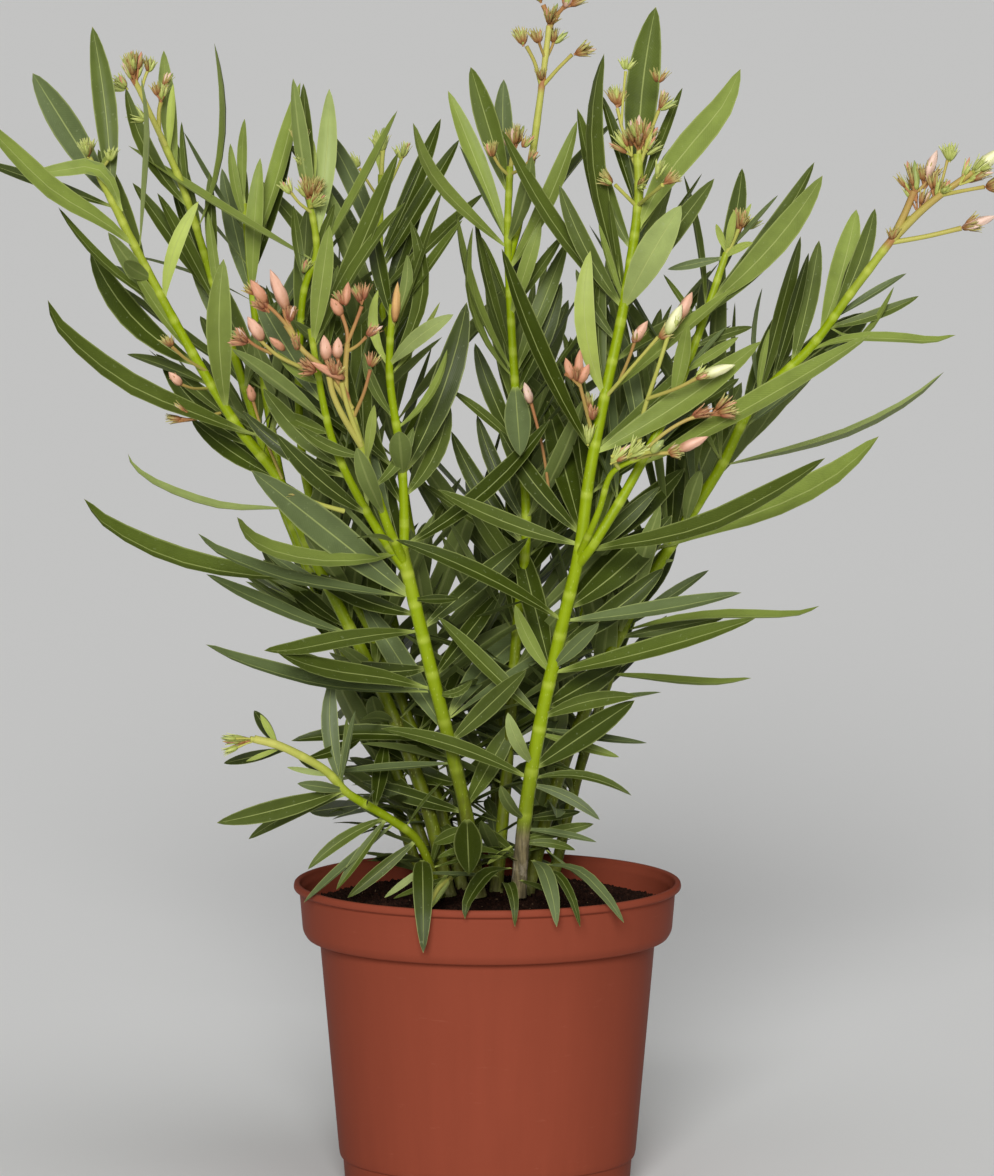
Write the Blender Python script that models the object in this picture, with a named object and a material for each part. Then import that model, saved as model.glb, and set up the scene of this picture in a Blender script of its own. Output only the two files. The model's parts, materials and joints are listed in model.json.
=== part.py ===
"""Potted oleander: a plastic plant pot, its compost, the branching stems, and the
masses of foliage and blossom that they carry, each one a closed solid of its own.

Metres, +Z up, front towards -Y. The origin is on the floor, on the pot's axis.
"""
import math
from collections import namedtuple

import bpy
import bmesh
from mathutils import Vector, noise

CM = 0.01
MM = 0.001
GAP = 0.3 * MM                  # clearance kept between touching solids

# ---- Pot: heights and radii of a 19 cm nursery container -------------------------------
POT_SEGMENTS = 32
POT_HEIGHT = 0.152              # floor to the crown of the rolled lip
LIP_RADIUS = 0.0950             # outside of the rolled lip
LIP_INNER_RADIUS = 0.0915
LIP_THICKNESS = 0.0035
BAND_TOP_RADIUS = 0.0920        # the deep rim band under the lip
BAND_FOOT_RADIUS = 0.0905
BAND_FOOT_HEIGHT = 0.1290
SHOULDER_HEIGHT = 0.1245        # where the band turns in to the body
BODY_TOP_RADIUS = 0.0822
BODY_FOOT_RADIUS = 0.0730
BODY_FOOT_HEIGHT = 0.0190
STEP_HEIGHT = 0.0162            # top of the foot ring
FOOT_TOP_RADIUS = 0.0710
FOOT_RADIUS = 0.06975
WALL = 0.0018
BASE_UNDERSIDE = 0.0150         # the base plate stands clear of the floor
FOOT_RING_WALL = 0.0035
NOTCHES = 4                     # drainage arches through the foot ring
NOTCH_WIDTH = 0.041
NOTCH_HEIGHT = 0.0085
NOTCH_TURN = math.radians(45.0)
ARCH_STEPS = 8
ARCH_SQUARENESS = 0.45          # 1 draws a half ellipse, less a squarer arch

# ---- Compost ---------------------------------------------------------------------------
SOIL_EDGE_HEIGHT = 0.1385
SOIL_TOP_HEIGHT = 0.1445
SOIL_FLAT_RADIUS = 0.052        # flat middle that carries the stems' cut feet
STEM_FOOT_HEIGHT = SOIL_TOP_HEIGHT + GAP

# ---- Plant -----------------------------------------------------------------------------
# Limbs and masses are laid out on an upright front sheet through the pot's axis, in
# centimetres, as (across, up, depth). A point with depth slides along its sight line from
# EYE, so its place on the sheet holds however far forward or back it stands.
EYE = Vector((0.005, -3.477, 0.692))
TUBE_SIDES = 6
TUBE_STEP = 0.036               # length of one straight stretch of a limb
MASS_POINTS = 72                # directions in which a mass is shaped
MASS_FULLNESS = 1.32            # how far the cores below swell towards their neighbours
MASS_ROUGHNESS = 0.22
BUMP_DENSITY = 1.7
MASS_FLOOR = POT_HEIGHT + 0.0015
TIP_CLEAR_ANGLE = 0.22          # no shaping direction this near a tip's, radians
TIP_SPACING = 0.9 * CM          # a tip that would pass nearer than this to another is cut short
TIP_SAMPLES = 24
SMALLEST_RADIUS = 0.0025

Limb = namedtuple("Limb", "name foot tip parent route")
Mass = namedtuple("Mass", "name slot centre core tips")

# Radii in mm; a limb with a parent starts on the parent's axis.
LIMBS = (
    Limb("stem_front_left", 4.2, 3.7, None,
         ((-0.4, 14.4, -2.0), (-1.0, 18.3, -2.3), (-1.85, 22, -2.8), (-2.85, 26, -3.4), (-4.2, 31.6, -4))),
    Limb("bough_front_left_leader", 3.0, 1.8, "stem_front_left",
         ((-3.9, 30.4, -3.85), (-5.4, 32.4, -4.4), (-6.9, 35.3, -5), (-7.8, 38.2, -5.5), (-7.9, 42.3, -6))),
    Limb("bough_front_left_bloom", 2.8, 1.6, "stem_front_left",
         ((-4.0, 30.8, -3.9), (-4.75, 32.4, -4.9), (-5.3, 34.0, -5.3), (-6.2, 36.8, -6.2), (-7, 39.5, -7))),
    Limb("bough_front_left_upright", 2.8, 1.8, "stem_front_left",
         ((-4.1, 31.2, -3.95), (-4.05, 33, -3.9), (-4.2, 36, -4.0), (-4.75, 40, -4.3), (-4.6, 43.5, -4.5))),
    Limb("stem_front_right", 4.6, 2.0, None,
         ((1.5, 14.4, -2.6), (1.85, 18.5, -2.9), (2.6, 23, -3.4), (3.7, 28.0, -4.0), (4.5, 31.5, -4.4),
          (4.95, 35, -4.4), (5.7, 39.0, -4.2), (6.6, 43.3, -3.8), (7.3, 48.2, -3.4), (7.3, 50.8, -3.2))),
    Limb("bough_front_right_outer", 2.9, 1.8, "stem_front_right",
         ((4.35, 30.7, -4.3), (5.3, 32.0, -4.9), (7.1, 35.0, -4.6), (9.1, 39.0, -4.0), (10.6, 43.0, -3.4),
          (11.6, 46.0, -3.0))),
    Limb("bough_front_right_bloom", 1.9, 1.2, "stem_front_right",
         ((4.4, 31.1, -4.35), (5.1, 32.6, -5.6), (5.5, 33.6, -6.0), (6.1, 35.3, -6.6), (7.6, 36.1, -7.2))),
    Limb("stem_right", 4.2, 2.2, None,
         ((1.9, 14.4, 0.9), (3.4, 20, 1.2), (5.6, 25.5, 1.6), (7.8, 29.8, 1.8), (10.1, 33.5, 1.8),
          (11.5, 35.8, 1.7), (13.0, 38.7, 1.6), (15.7, 41.4, 1.4), (17.7, 44.1, 1.2), (19.6, 46.6, 1.0),
          (20.6, 47.7, 1.0))),
    Limb("stem_centre", 4.0, 1.8, None,
         ((0.4, 14.4, 0.6), (0.9, 20, 0.7), (1.4, 27, 0.9), (1.9, 33, 1.0), (1.35, 39.6, 1.1),
          (1.0, 46.2, 1.1), (1.1, 50.2, 1.0))),
    Limb("bough_centre_top", 2.2, 1.4, "stem_centre",
         ((1.02, 45.6, 1.1), (1.5, 47.4, 1.9), (2.1, 50.2, 2.2), (2.65, 54.2, 2.3), (3.0, 57.0, 2.3))),
    Limb("stem_left", 4.2, 1.8, None,
         ((-1.9, 14.4, -0.3), (-3.0, 19, -0.2), (-4.9, 24, 0), (-7.2, 28.6, 0), (-8.6, 31.4, 0),
          (-10.2, 35, 0), (-12.2, 37.6, -0.2), (-14.6, 41.6, -0.4), (-17.0, 46.1, -0.7),
          (-19.0, 50.2, -0.9))),
    Limb("stem_left_inner", 3.8, 1.8, None,
         ((-1.1, 14.4, 1.2), (-2.7, 20, 1.6), (-5.2, 26.5, 2.0), (-8.0, 32, 2.2), (-9.1, 37, 2.1),
          (-9.0, 43.5, 1.7), (-8.3, 46.0, 1.5), (-8.6, 48.6, 1.4))),
    Limb("stem_left_back", 3.6, 1.8, None,
         ((-2.2, 14.4, 2.4), (-4.6, 21, 3.4), (-7.6, 28, 4.2), (-10, 34, 4.6), (-12.0, 40, 4.6),
          (-13.6, 45.5, 4.2), (-14.7, 49.0, 3.8), (-15.8, 51.6, 3.5))),
    Limb("bough_left_back_inner", 2.4, 1.5, "stem_left_back",
         ((-9.8, 33.4, 4.55), (-10.6, 38, 5.8), (-11.3, 43, 6.0), (-11.8, 48.4, 5.8))),
    Limb("stem_centre_back", 3.4, 1.6, None,
         ((-0.4, 14.4, 2.5), (-1.8, 21, 4.2), (-3.2, 29, 5.4), (-4.5, 37.5, 6.0), (-5.2, 44.5, 6.0),
          (-5.15, 49.8, 5.8))),
    Limb("shoot_low_left", 2.6, 1.7, None,
         ((-2.3, 14.4, -2.6), (-3.3, 17.0, -3.4), (-4.7, 18.2, -4.0), (-6.8, 19.5, -4.8), (-8.0, 20.7, -5.3),
          (-10.0, 21.8, -5.9), (-11.4, 22.2, -6.2))),
    Limb("stem_back_left", 3.6, 1.8, None,
         ((-1.0, 14.4, 3.8), (-3.0, 22, 7.0), (-5.6, 32, 10.6), (-8.0, 42.5, 12.6))),
    Limb("stem_back_right", 3.6, 1.8, None,
         ((1.3, 14.4, 2.8), (3.2, 22, 6.2), (5.6, 32, 10.0), (8.2, 42.5, 12.4))),
    Limb("stem_back_centre", 3.4, 1.8, None,
         ((0.3, 14.4, 4.0), (0.5, 22, 6.8), (0.9, 31, 9.6), (1.6, 41, 11.4))),
    Limb("stem_far_left", 3.2, 1.8, None,
         ((-2.9, 14.4, 3.6), (-6.4, 22, 6.8), (-9.6, 30, 9.4), (-12.6, 38.5, 11.0))),
    Limb("stem_far_right", 3.2, 1.8, None,
         ((3.0, 14.4, 2.4), (6.2, 22, 5.2), (9.8, 29.5, 7.8), (13.4, 37.8, 9.4))),
)

# Core radii are (across, depth, up) in cm; each tip is where the mass's furthest leaf ends.
MASSES = (
    Mass("mass_left_outer", "foliage", (-18.0, 49.2, -0.8), (1.9, 2.2, 2.6),
         ((-25.0, 52.9, -2), (-22.0, 54.7, 0), (-19.1, 56.9, 0.5), (-24.6, 50.4, 2), (-20.8, 48.2, -1))),
    Mass("mass_left", "foliage", (-14.3, 42.2, -0.6), (2.2, 2.8, 3.0),
         ((-21.2, 43.4, 0.5), (-19.1, 45.6, 1), (-13.9, 47.6, -2.5), (-14.4, 37.7, 1), (-14.5, 43, -8.5))),
    Mass("mass_left_back_top", "foliage", (-15.2, 50.4, 4.0), (1.5, 2.0, 2.6),
         ((-17.4, 55.7, 3.2), (-15.5, 55.8, 4), (-13.2, 56.1, 5), (-15, 51, 12))),
    Mass("mass_left_inner", "foliage", (-11.7, 46.3, 6.0), (1.6, 2.2, 2.8),
         ((-11.7, 52.5, 5.8), (-12.4, 51.4, 7), (-11.0, 50.6, 4.6), (-12, 46, 13))),
    Mass("mass_left_mid", "foliage", (-8.8, 48.0, 1.6), (1.6, 2.2, 2.8),
         ((-9.2, 54.4, 2.2), (-7.6, 53.9, 1), (-10.9, 47.6, -4))),
    Mass("mass_centre_left", "foliage", (-4.6, 47.4, 5.6), (1.7, 2.4, 2.6),
         ((-4.35, 52.9, 5), (-2.25, 52.5, 6.5), (-5.3, 52.0, 6), (-6.5, 50.6, 6), (-4.6, 47, 13))),
    Mass("mass_left_bloom", "blossom", (-8.2, 41.9, -6.2), (2.0, 2.2, 2.2),
         ((-11.4, 44.4, -7), (-10.3, 45.0, -6.5), (-7.6, 47.3, -6.2), (-11.9, 42.2, -7), (-8.4, 41, -14.5))),
    Mass("mass_front_left", "foliage", (-4.3, 41.2, -4.6), (1.6, 2.2, 2.6),
         ((-3.7, 47.6, -4.4), (-1.65, 43.0, -7), (-4.3, 44.7, -5.2), (-4.5, 39, -13.5))),
    Mass("mass_left_middle", "foliage", (-9.0, 33.2, -1.4), (2.6, 3.6, 2.6),
         ((-17.5, 36.2, -1), (-19.6, 34.0, -1.5), (-12.2, 33.1, -7), (-11.4, 36.6, -5))),
    Mass("mass_left_lower", "foliage", (-6.8, 27.2, -0.4), (2.4, 3.6, 2.3),
         ((-13.7, 30.2, 0), (-13.7, 26.8, -4), (-10.9, 26.5, -8), (-8.5, 25, 6))),
    Mass("mass_low_shoot", "foliage", (-8.2, 20.4, -5.2), (1.8, 1.7, 1.4),
         ((-13.0, 22.3, -6.4), (-13.2, 18.3, -7.5), (-11.4, 23.5, -6), (-12.9, 21.0, -6.8),
          (-7.7, 24.6, -5))),
    Mass("mass_foot_left", "foliage", (-3.4, 19.6, 0.6), (2.4, 3.0, 2.3),
         ((-8.6, 17.0, 3), (-6.4, 16.9, -5), (-6.0, 23.4, 5))),
    Mass("mass_foot_right", "foliage", (4.0, 19.8, -0.4), (2.2, 3.0, 2.2),
         ((7.0, 19.4, -2), (5.6, 17.6, -5), (8.5, 24.4, -1), (7.8, 21.6, 3), (2.5, 19, -9.5))),
    Mass("mass_core", "foliage", (-0.2, 26.8, 1.0), (2.4, 3.2, 3.6),
         ((-0.4, 33.8, -3), (0.3, 27, -10), (1.3, 21.0, -2))),
    Mass("mass_right_lower", "foliage", (7.2, 27.4, -0.6), (2.4, 3.6, 2.2),
         ((16.2, 28.7, 1), (13.1, 28.1, -5), (12.9, 25.2, 3), (12.4, 29.4, -6), (6.5, 26, -11.5))),
    Mass("mass_right_middle", "foliage", (10.2, 34.2, -0.2), (2.2, 3.0, 2.1),
         ((19.0, 37.0, 0), (22.2, 40.1, 3), (16.4, 36.0, -6), (10.6, 36.8, -9))),
    Mass("mass_front_right", "foliage", (6.2, 38.2, -3.0), (2.1, 2.8, 2.8),
         ((3.0, 38.8, -3), (5.0, 46.0, -6), (6.2, 38, -17.0), (1.6, 36.5, -9))),
    Mass("mass_front_right_top", "foliage", (7.8, 48.8, -3.0), (1.9, 2.4, 3.0),
         ((8.1, 57.9, -2), (12.2, 54.9, -3.5), (9.4, 54.0, -2), (4.4, 53.0, -4), (8.5, 49, -12.5))),
    Mass("mass_centre_middle", "foliage", (1.0, 40.6, 1.4), (1.8, 2.4, 3.2),
         ((-0.7, 47.0, 0), (2.5, 47.3, 1), (-2.4, 37, 3))),
    Mass("mass_centre_top", "foliage", (0.7, 49.2, 1.4), (1.5, 2.0, 2.5),
         ((-0.8, 55.0, 2), (0.95, 54.4, 1), (-1.9, 53.8, 0.5), (-3.6, 52.3, 0), (5.7, 55.5, 2.5))),
    Mass("bloom_top", "blossom", (2.9, 56.6, 2.3), (0.9, 0.9, 1.4),
         ((1.4, 56.8, 1.6), (5.0, 56.1, 2.0), (3.3, 60.0, 2.3), (2.4, 59.0, 2.0), (4.4, 58.1, 2.4))),
    Mass("mass_right_inner", "foliage", (11.3, 43.9, -3.0), (1.8, 2.4, 2.6),
         ((16.2, 49.7, -3.5), (15.8, 50.4, -1), (12.3, 50.1, -1), (14.1, 48.8, -4), (13, 43, -11.5))),
    Mass("mass_right_outer", "foliage", (15.9, 42.6, 1.2), (2.0, 2.3, 2.1),
         ((17.9, 48.1, 0), (18.8, 48.1, 2.5), (22.7, 42.0, 0.5), (20.9, 43.9, 1), (16, 41.5, 9.5))),
    Mass("bloom_right", "blossom", (21.3, 48.2, 1.0), (1.3, 1.0, 1.1),
         ((25.0, 50.9, 0.5), (22.6, 51.3, 1.5), (24.6, 47.7, 1), (20.6, 50.4, 1), (24.5, 49.2, 1.6))),
    Mass("mass_back_left", "foliage", (-7.4, 40.5, 12.0), (3.0, 3.0, 4.6),
         ((-8.6, 50.4, 14), (-12.5, 46.5, 15), (-4.5, 46, 16), (-8, 41, 17.0), (-7.5, 32, 16))),
    Mass("mass_back_centre", "foliage", (1.3, 40.0, 11.0), (2.8, 2.8, 4.2),
         ((1.5, 49.8, 12.5), (-1.5, 45, 16), (4.5, 46, 15.5), (1.5, 38, 17.0), (1, 31, 15))),
    Mass("mass_back_right", "foliage", (8.4, 40.5, 11.6), (3.0, 3.0, 4.6),
         ((9.0, 50.8, 13.5), (13.0, 47, 14), (5.5, 45, 16.5), (9, 40, 17.0), (8.5, 31.5, 15.5))),
    Mass("mass_far_left", "foliage", (-12.6, 37.0, 10.0), (2.5, 2.8, 3.4),
         ((-18.5, 41.5, 12), (-14.6, 45.0, 13), (-17.5, 36, 10), (-13, 33, 16))),
    Mass("mass_far_right", "foliage", (13.4, 36.4, 8.6), (2.5, 2.8, 3.4),
         ((18.6, 41.8, 10.5), (15.2, 45.0, 11), (18.2, 36.6, 8.5), (14, 32, 14.5))),
    Mass("mass_back_lower", "foliage", (0.2, 27.4, 8.6), (4.2, 3.0, 4.0),
         ((-7, 31, 13), (7.5, 31, 12.5), (0, 25, 16), (-6, 22, 11), (6.5, 22, 10))),
)

# Colours, roughness and metallic value of each finish
FINISHES = {
    "terracotta_plastic": ((0.30, 0.066, 0.034), 0.42),
    "compost": ((0.020, 0.012, 0.008), 0.95),
    "stem": ((0.27, 0.43, 0.012), 0.45),
    "foliage": ((0.085, 0.155, 0.040), 0.55),
    "blossom": ((0.60, 0.27, 0.17), 0.60),
}


def clear_scene():
    for item in list(bpy.data.objects):
        bpy.data.objects.remove(item, do_unlink=True)


def finish_material(slot):
    """One Principled material per finish, made when it is first asked for."""
    material = bpy.data.materials.get(slot)
    if material is None:
        colour, roughness = FINISHES[slot]
        material = bpy.data.materials.new(slot)
        material.use_nodes = True
        shader = material.node_tree.nodes["Principled BSDF"]
        shader.inputs["Base Color"].default_value = (*colour, 1.0)
        shader.inputs["Roughness"].default_value = roughness
        shader.inputs["Metallic"].default_value = 0.0
    return material


def new_object(name, mesh, slot=None):
    thing = bpy.data.objects.new(name, mesh)
    bpy.context.collection.objects.link(thing)
    if slot:
        mesh.materials.append(finish_material(slot))
    return thing


def place(across, up, depth):
    """A point of the front sheet, slid along its sight line to the given depth."""
    flat = Vector((across, 0.0, up)) * CM
    return EYE + (flat - EYE) * ((depth * CM - EYE.y) / -EYE.y)


def from_bmesh(name, shape):
    mesh = bpy.data.meshes.new(name)
    shape.to_mesh(mesh)
    shape.free()
    return mesh


def lathe(name, profile, segments):
    """A closed ring of (radius, height) points turned about Z; zero radii become poles."""
    shape = bmesh.new()
    rings = []
    for radius, height in profile:
        if radius == 0.0:
            rings.append([shape.verts.new((0.0, 0.0, height))])
            continue
        turns = (2.0 * math.pi * k / segments for k in range(segments))
        rings.append([shape.verts.new((radius * math.cos(a), radius * math.sin(a), height)) for a in turns])
    for low, high in zip(rings, rings[1:] + rings[:1]):
        if len(low) == 1 and len(high) == 1:
            continue
        for k in range(segments):
            after = (k + 1) % segments
            if len(low) == 1:
                shape.faces.new((low[0], high[after], high[k]))
            elif len(high) == 1:
                shape.faces.new((low[k], low[after], high[0]))
            else:
                shape.faces.new((low[k], low[after], high[after], high[k]))
    bmesh.ops.recalc_face_normals(shape, faces=shape.faces)
    return from_bmesh(name, shape)


def pot_profile():
    """From the foot ring's outer edge up the outside, over the lip and down the inside."""
    lip_crown = (LIP_RADIUS + LIP_INNER_RADIUS) / 2.0
    outside = [
        (FOOT_RADIUS, 0.0),
        (FOOT_TOP_RADIUS, STEP_HEIGHT),
        (BODY_FOOT_RADIUS, BODY_FOOT_HEIGHT),
        (BODY_TOP_RADIUS, SHOULDER_HEIGHT),
        (BAND_FOOT_RADIUS - 0.0012, SHOULDER_HEIGHT + 0.0015),
        (BAND_FOOT_RADIUS, BAND_FOOT_HEIGHT),
        (BAND_TOP_RADIUS, POT_HEIGHT - LIP_THICKNESS),
        (LIP_RADIUS, POT_HEIGHT - LIP_THICKNESS * 0.7),
        (LIP_RADIUS, POT_HEIGHT - LIP_THICKNESS * 0.25),
        (lip_crown, POT_HEIGHT),
    ]
    inside = [
        (LIP_INNER_RADIUS, POT_HEIGHT - LIP_THICKNESS * 0.4),
        (BAND_TOP_RADIUS - WALL, POT_HEIGHT - LIP_THICKNESS * 1.3),
        (BAND_FOOT_RADIUS - WALL, BAND_FOOT_HEIGHT + WALL),
        (BODY_TOP_RADIUS - WALL, SHOULDER_HEIGHT + WALL),
        (BODY_FOOT_RADIUS - WALL, BASE_UNDERSIDE + WALL),
        (0.0, BASE_UNDERSIDE + WALL),
    ]
    underside = [
        (0.0, BASE_UNDERSIDE),
        (FOOT_RADIUS - FOOT_RING_WALL, BASE_UNDERSIDE),
        (FOOT_RADIUS - FOOT_RING_WALL, 0.0),
    ]
    return outside + inside + underside


def notch_cutter(turn):
    """A long arch that cuts the foot ring on both sides of the axis."""
    outline = [(-NOTCH_WIDTH / 2.0, -NOTCH_HEIGHT), (NOTCH_WIDTH / 2.0, -NOTCH_HEIGHT)]
    for k in range(ARCH_STEPS + 1):
        angle = math.pi * k / ARCH_STEPS
        across = math.copysign(abs(math.cos(angle)) ** ARCH_SQUARENESS, math.cos(angle))
        outline.append((NOTCH_WIDTH / 2.0 * across, NOTCH_HEIGHT * abs(math.sin(angle)) ** ARCH_SQUARENESS))
    along = Vector((math.cos(turn), math.sin(turn), 0.0))
    aside = along.cross(Vector((0.0, 0.0, 1.0)))
    shape = bmesh.new()
    near = [shape.verts.new(aside * x + Vector((0.0, 0.0, z)) - along * LIP_RADIUS) for x, z in outline]
    moved = bmesh.ops.extrude_face_region(shape, geom=[shape.faces.new(near)])
    far = [item for item in moved["geom"] if isinstance(item, bmesh.types.BMVert)]
    bmesh.ops.translate(shape, verts=far, vec=along * LIP_RADIUS * 2.0)
    bmesh.ops.recalc_face_normals(shape, faces=shape.faces)
    return as_cutter(new_object("notch_cutter", from_bmesh("notch_cutter", shape)))


def as_cutter(thing):
    thing.hide_render = True
    thing.display_type = "WIRE"
    return thing


def largest_piece(mesh):
    """Drops every loose scrap but the biggest one that a cut has left."""
    shape = bmesh.new()
    shape.from_mesh(mesh)
    left, pieces = set(shape.verts), []
    while left:
        seed = left.pop()
        piece, queue = {seed}, [seed]
        while queue:
            for edge in queue.pop().link_edges:
                for vert in edge.verts:
                    if vert in left:
                        left.discard(vert)
                        piece.add(vert)
                        queue.append(vert)
        pieces.append(piece)
    pieces.sort(key=len)
    scraps = [vert for piece in pieces[:-1] for vert in piece]
    bmesh.ops.delete(shape, geom=scraps, context="VERTS")
    shape.to_mesh(mesh)
    shape.free()


def carve(thing, cutters):
    """Cuts the cutters out of a solid and keeps its largest piece as plain mesh."""
    for cutter in cutters:
        cut = thing.modifiers.new("cut", "BOOLEAN")
        cut.operation = "DIFFERENCE"
        cut.solver = "EXACT"
        cut.object = cutter
    bpy.context.view_layer.update()
    graph = bpy.context.evaluated_depsgraph_get()
    result = bpy.data.meshes.new_from_object(thing.evaluated_get(graph))
    thing.modifiers.clear()
    thing.data = result
    largest_piece(result)


def make_pot():
    pot = new_object("pot", lathe("pot", pot_profile(), POT_SEGMENTS), "terracotta_plastic")
    turns = [NOTCH_TURN + k * 2.0 * math.pi / NOTCHES for k in range(NOTCHES // 2)]
    carve(pot, [notch_cutter(turn) for turn in turns])
    return pot


def make_compost():
    """The root ball and its loose top, a fitting gap inside the pot's wall."""
    profile = [
        (0.0, BASE_UNDERSIDE + WALL + GAP),
        (BODY_FOOT_RADIUS - WALL - 2 * GAP, BASE_UNDERSIDE + WALL + GAP),
        (BODY_TOP_RADIUS - WALL - 2 * GAP, SHOULDER_HEIGHT + WALL + GAP),
        (BAND_FOOT_RADIUS - WALL - 2 * GAP, BAND_FOOT_HEIGHT + WALL + GAP),
        (BAND_FOOT_RADIUS - WALL, SOIL_EDGE_HEIGHT),
        (SOIL_FLAT_RADIUS, SOIL_TOP_HEIGHT),
        (0.0, SOIL_TOP_HEIGHT),
    ]
    return new_object("compost", lathe("compost", profile, POT_SEGMENTS), "compost")


def smooth_route(points, step):
    """Catmull-Rom curve through the points, sampled about every step."""
    ends = [points[0] * 2 - points[1]] + list(points) + [points[-1] * 2 - points[-2]]
    samples = [points[0]]
    for before, start, end, after in zip(ends, ends[1:], ends[2:], ends[3:]):
        pieces = max(1, round((end - start).length / step))
        for k in range(1, pieces + 1):
            t = k / pieces
            samples.append(0.5 * (2 * start + (end - before) * t
                                  + (2 * before - 5 * start + 4 * end - after) * t ** 2
                                  + (3 * start - before - 3 * end + after) * t ** 3))
    return samples


def tube(name, route, radii, sides=TUBE_SIDES):
    """A closed limb along a route; a foot on the compost is cut level."""
    shape = bmesh.new()
    rings = []
    side = Vector((1.0, 0.0, 0.0))
    for k, point in enumerate(route):
        ahead = (route[min(k + 1, len(route) - 1)] - route[max(k - 1, 0)]).normalized()
        side = (side - ahead * side.dot(ahead)).normalized()
        across = ahead.cross(side)
        ring = []
        for s in range(sides):
            angle = 2.0 * math.pi * s / sides
            spot = point + (side * math.cos(angle) + across * math.sin(angle)) * radii[k]
            if k == 0 and abs(point.z - STEM_FOOT_HEIGHT) < MM:
                spot.z = STEM_FOOT_HEIGHT
            ring.append(shape.verts.new(spot))
        rings.append(ring)
    for low, high in zip(rings, rings[1:]):
        for s in range(sides):
            after = (s + 1) % sides
            shape.faces.new((low[s], low[after], high[after], high[s]))
    shape.faces.new(reversed(rings[0]))
    shape.faces.new(rings[-1])
    return from_bmesh(name, shape)


def limb_tube(limb, name, grow=0.0):
    points = [place(*spot) for spot in limb.route]
    if limb.parent is None:
        points[0].z = STEM_FOOT_HEIGHT
    route = smooth_route(points, TUBE_STEP)
    last = len(route) - 1
    radii = [(limb.foot + (limb.tip - limb.foot) * k / last) * MM + grow for k in range(last + 1)]
    return tube(name, route, radii)


def make_limbs():
    """Every limb and, for each, a slightly fatter copy that cuts room for it."""
    cutters = {}
    for limb in LIMBS:
        cutters[limb.name] = as_cutter(new_object("room_" + limb.name, limb_tube(limb, "room", GAP)))
    for number, limb in enumerate(LIMBS):
        bough = new_object(limb.name, limb_tube(limb, limb.name), "stem")
        if limb.parent:
            elder = [other.name for other in LIMBS[:number] if other.parent == limb.parent]
            carve(bough, [cutters[name] for name in [limb.parent] + elder])
    return cutters


def sphere_directions(count):
    """Evenly spread unit vectors on a spiral."""
    golden = math.pi * (3.0 - math.sqrt(5.0))
    for k in range(count):
        height = 1.0 - 2.0 * (k + 0.5) / count
        level = math.sqrt(1.0 - height * height)
        yield Vector((level * math.cos(golden * k), level * math.sin(golden * k), height))


def mass_size(mass):
    return sum(mass.core) / 3.0


def wall_distance(mass, centre, direction, others):
    """How far a mass may reach in a direction before its neighbours' share of space begins."""
    reach = math.inf
    for other in others:
        if other is mass:
            continue
        towards = place(*other.centre) - centre
        share = towards.length * mass_size(mass) / (mass_size(mass) + mass_size(other)) - GAP / 2.0
        lean = direction.dot(towards.normalized())
        if lean > 0.0:
            reach = min(reach, share / lean)
    if direction.z < 0.0:
        reach = min(reach, (MASS_FLOOR - centre.z) / direction.z)
    return reach


def tip_distance(mass, centre, tip):
    """A tip runs on past a neighbour's share where nothing of that neighbour is in its way."""
    path = [centre + tip * (k / TIP_SAMPLES) for k in range(TIP_SAMPLES + 1)]
    in_the_way = []
    for other in MASSES:
        if other is mass:
            continue
        middle = place(*other.centre)
        body = max(other.core) * CM * MASS_FULLNESS * (1.0 + MASS_ROUGHNESS)
        meets = min((spot - middle).length for spot in path) < body
        for other_tip in other.tips:
            end = place(*other_tip)
            rivals = [middle.lerp(end, k / TIP_SAMPLES) for k in range(TIP_SAMPLES + 1)]
            meets = meets or min((a - b).length for a in path for b in rivals) < TIP_SPACING
        if meets:
            in_the_way.append(other)
    return min(tip.length, wall_distance(mass, centre, tip.normalized(), in_the_way))


def make_mass(mass, limb_cutters):
    """An uneven body drawn out to its leaf tips, clear of its neighbours and the limbs."""
    centre = place(*mass.centre)
    tips = [place(*tip) - centre for tip in mass.tips]
    tip_ways = [tip.normalized() for tip in tips]
    ways = [way for way in sphere_directions(MASS_POINTS)
            if all(way.angle(tip_way) > TIP_CLEAR_ANGLE for tip_way in tip_ways)]
    shape = bmesh.new()
    reach_of = {}
    for way in ways:
        core = 1.0 / math.sqrt(sum((axis / (size * CM)) ** 2 for axis, size in zip(way, mass.core)))
        bumps = 1.0 + MASS_ROUGHNESS * 2.0 * noise.noise(way * BUMP_DENSITY + centre / CM)
        wall = wall_distance(mass, centre, way, MASSES)
        reach_of[shape.verts.new(way)] = min(core * MASS_FULLNESS * bumps, wall)
    for way, tip in zip(tip_ways, tips):
        reach_of[shape.verts.new(way)] = tip_distance(mass, centre, tip)
    bmesh.ops.convex_hull(shape, input=shape.verts)
    for vert in shape.verts:
        vert.co = centre + vert.co.normalized() * max(reach_of[vert], SMALLEST_RADIUS)
    bmesh.ops.recalc_face_normals(shape, faces=shape.faces)
    body = new_object(mass.name, from_bmesh(mass.name, shape), mass.slot)
    carve(body, [cutter for cutter in limb_cutters.values() if boxes_meet(body, cutter)])


def boxes_meet(one, other):
    bounds = []
    for thing in (one, other):
        corners = [vert.co for vert in thing.data.vertices]
        bounds.append([(min(c[k] for c in corners), max(c[k] for c in corners)) for k in range(3)])
    return all(a[0] <= b[1] and b[0] <= a[1] for a, b in zip(*bounds))


def main():
    clear_scene()
    make_pot()
    make_compost()
    limb_cutters = make_limbs()
    for mass in MASSES:
        make_mass(mass, limb_cutters)


main()
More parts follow.
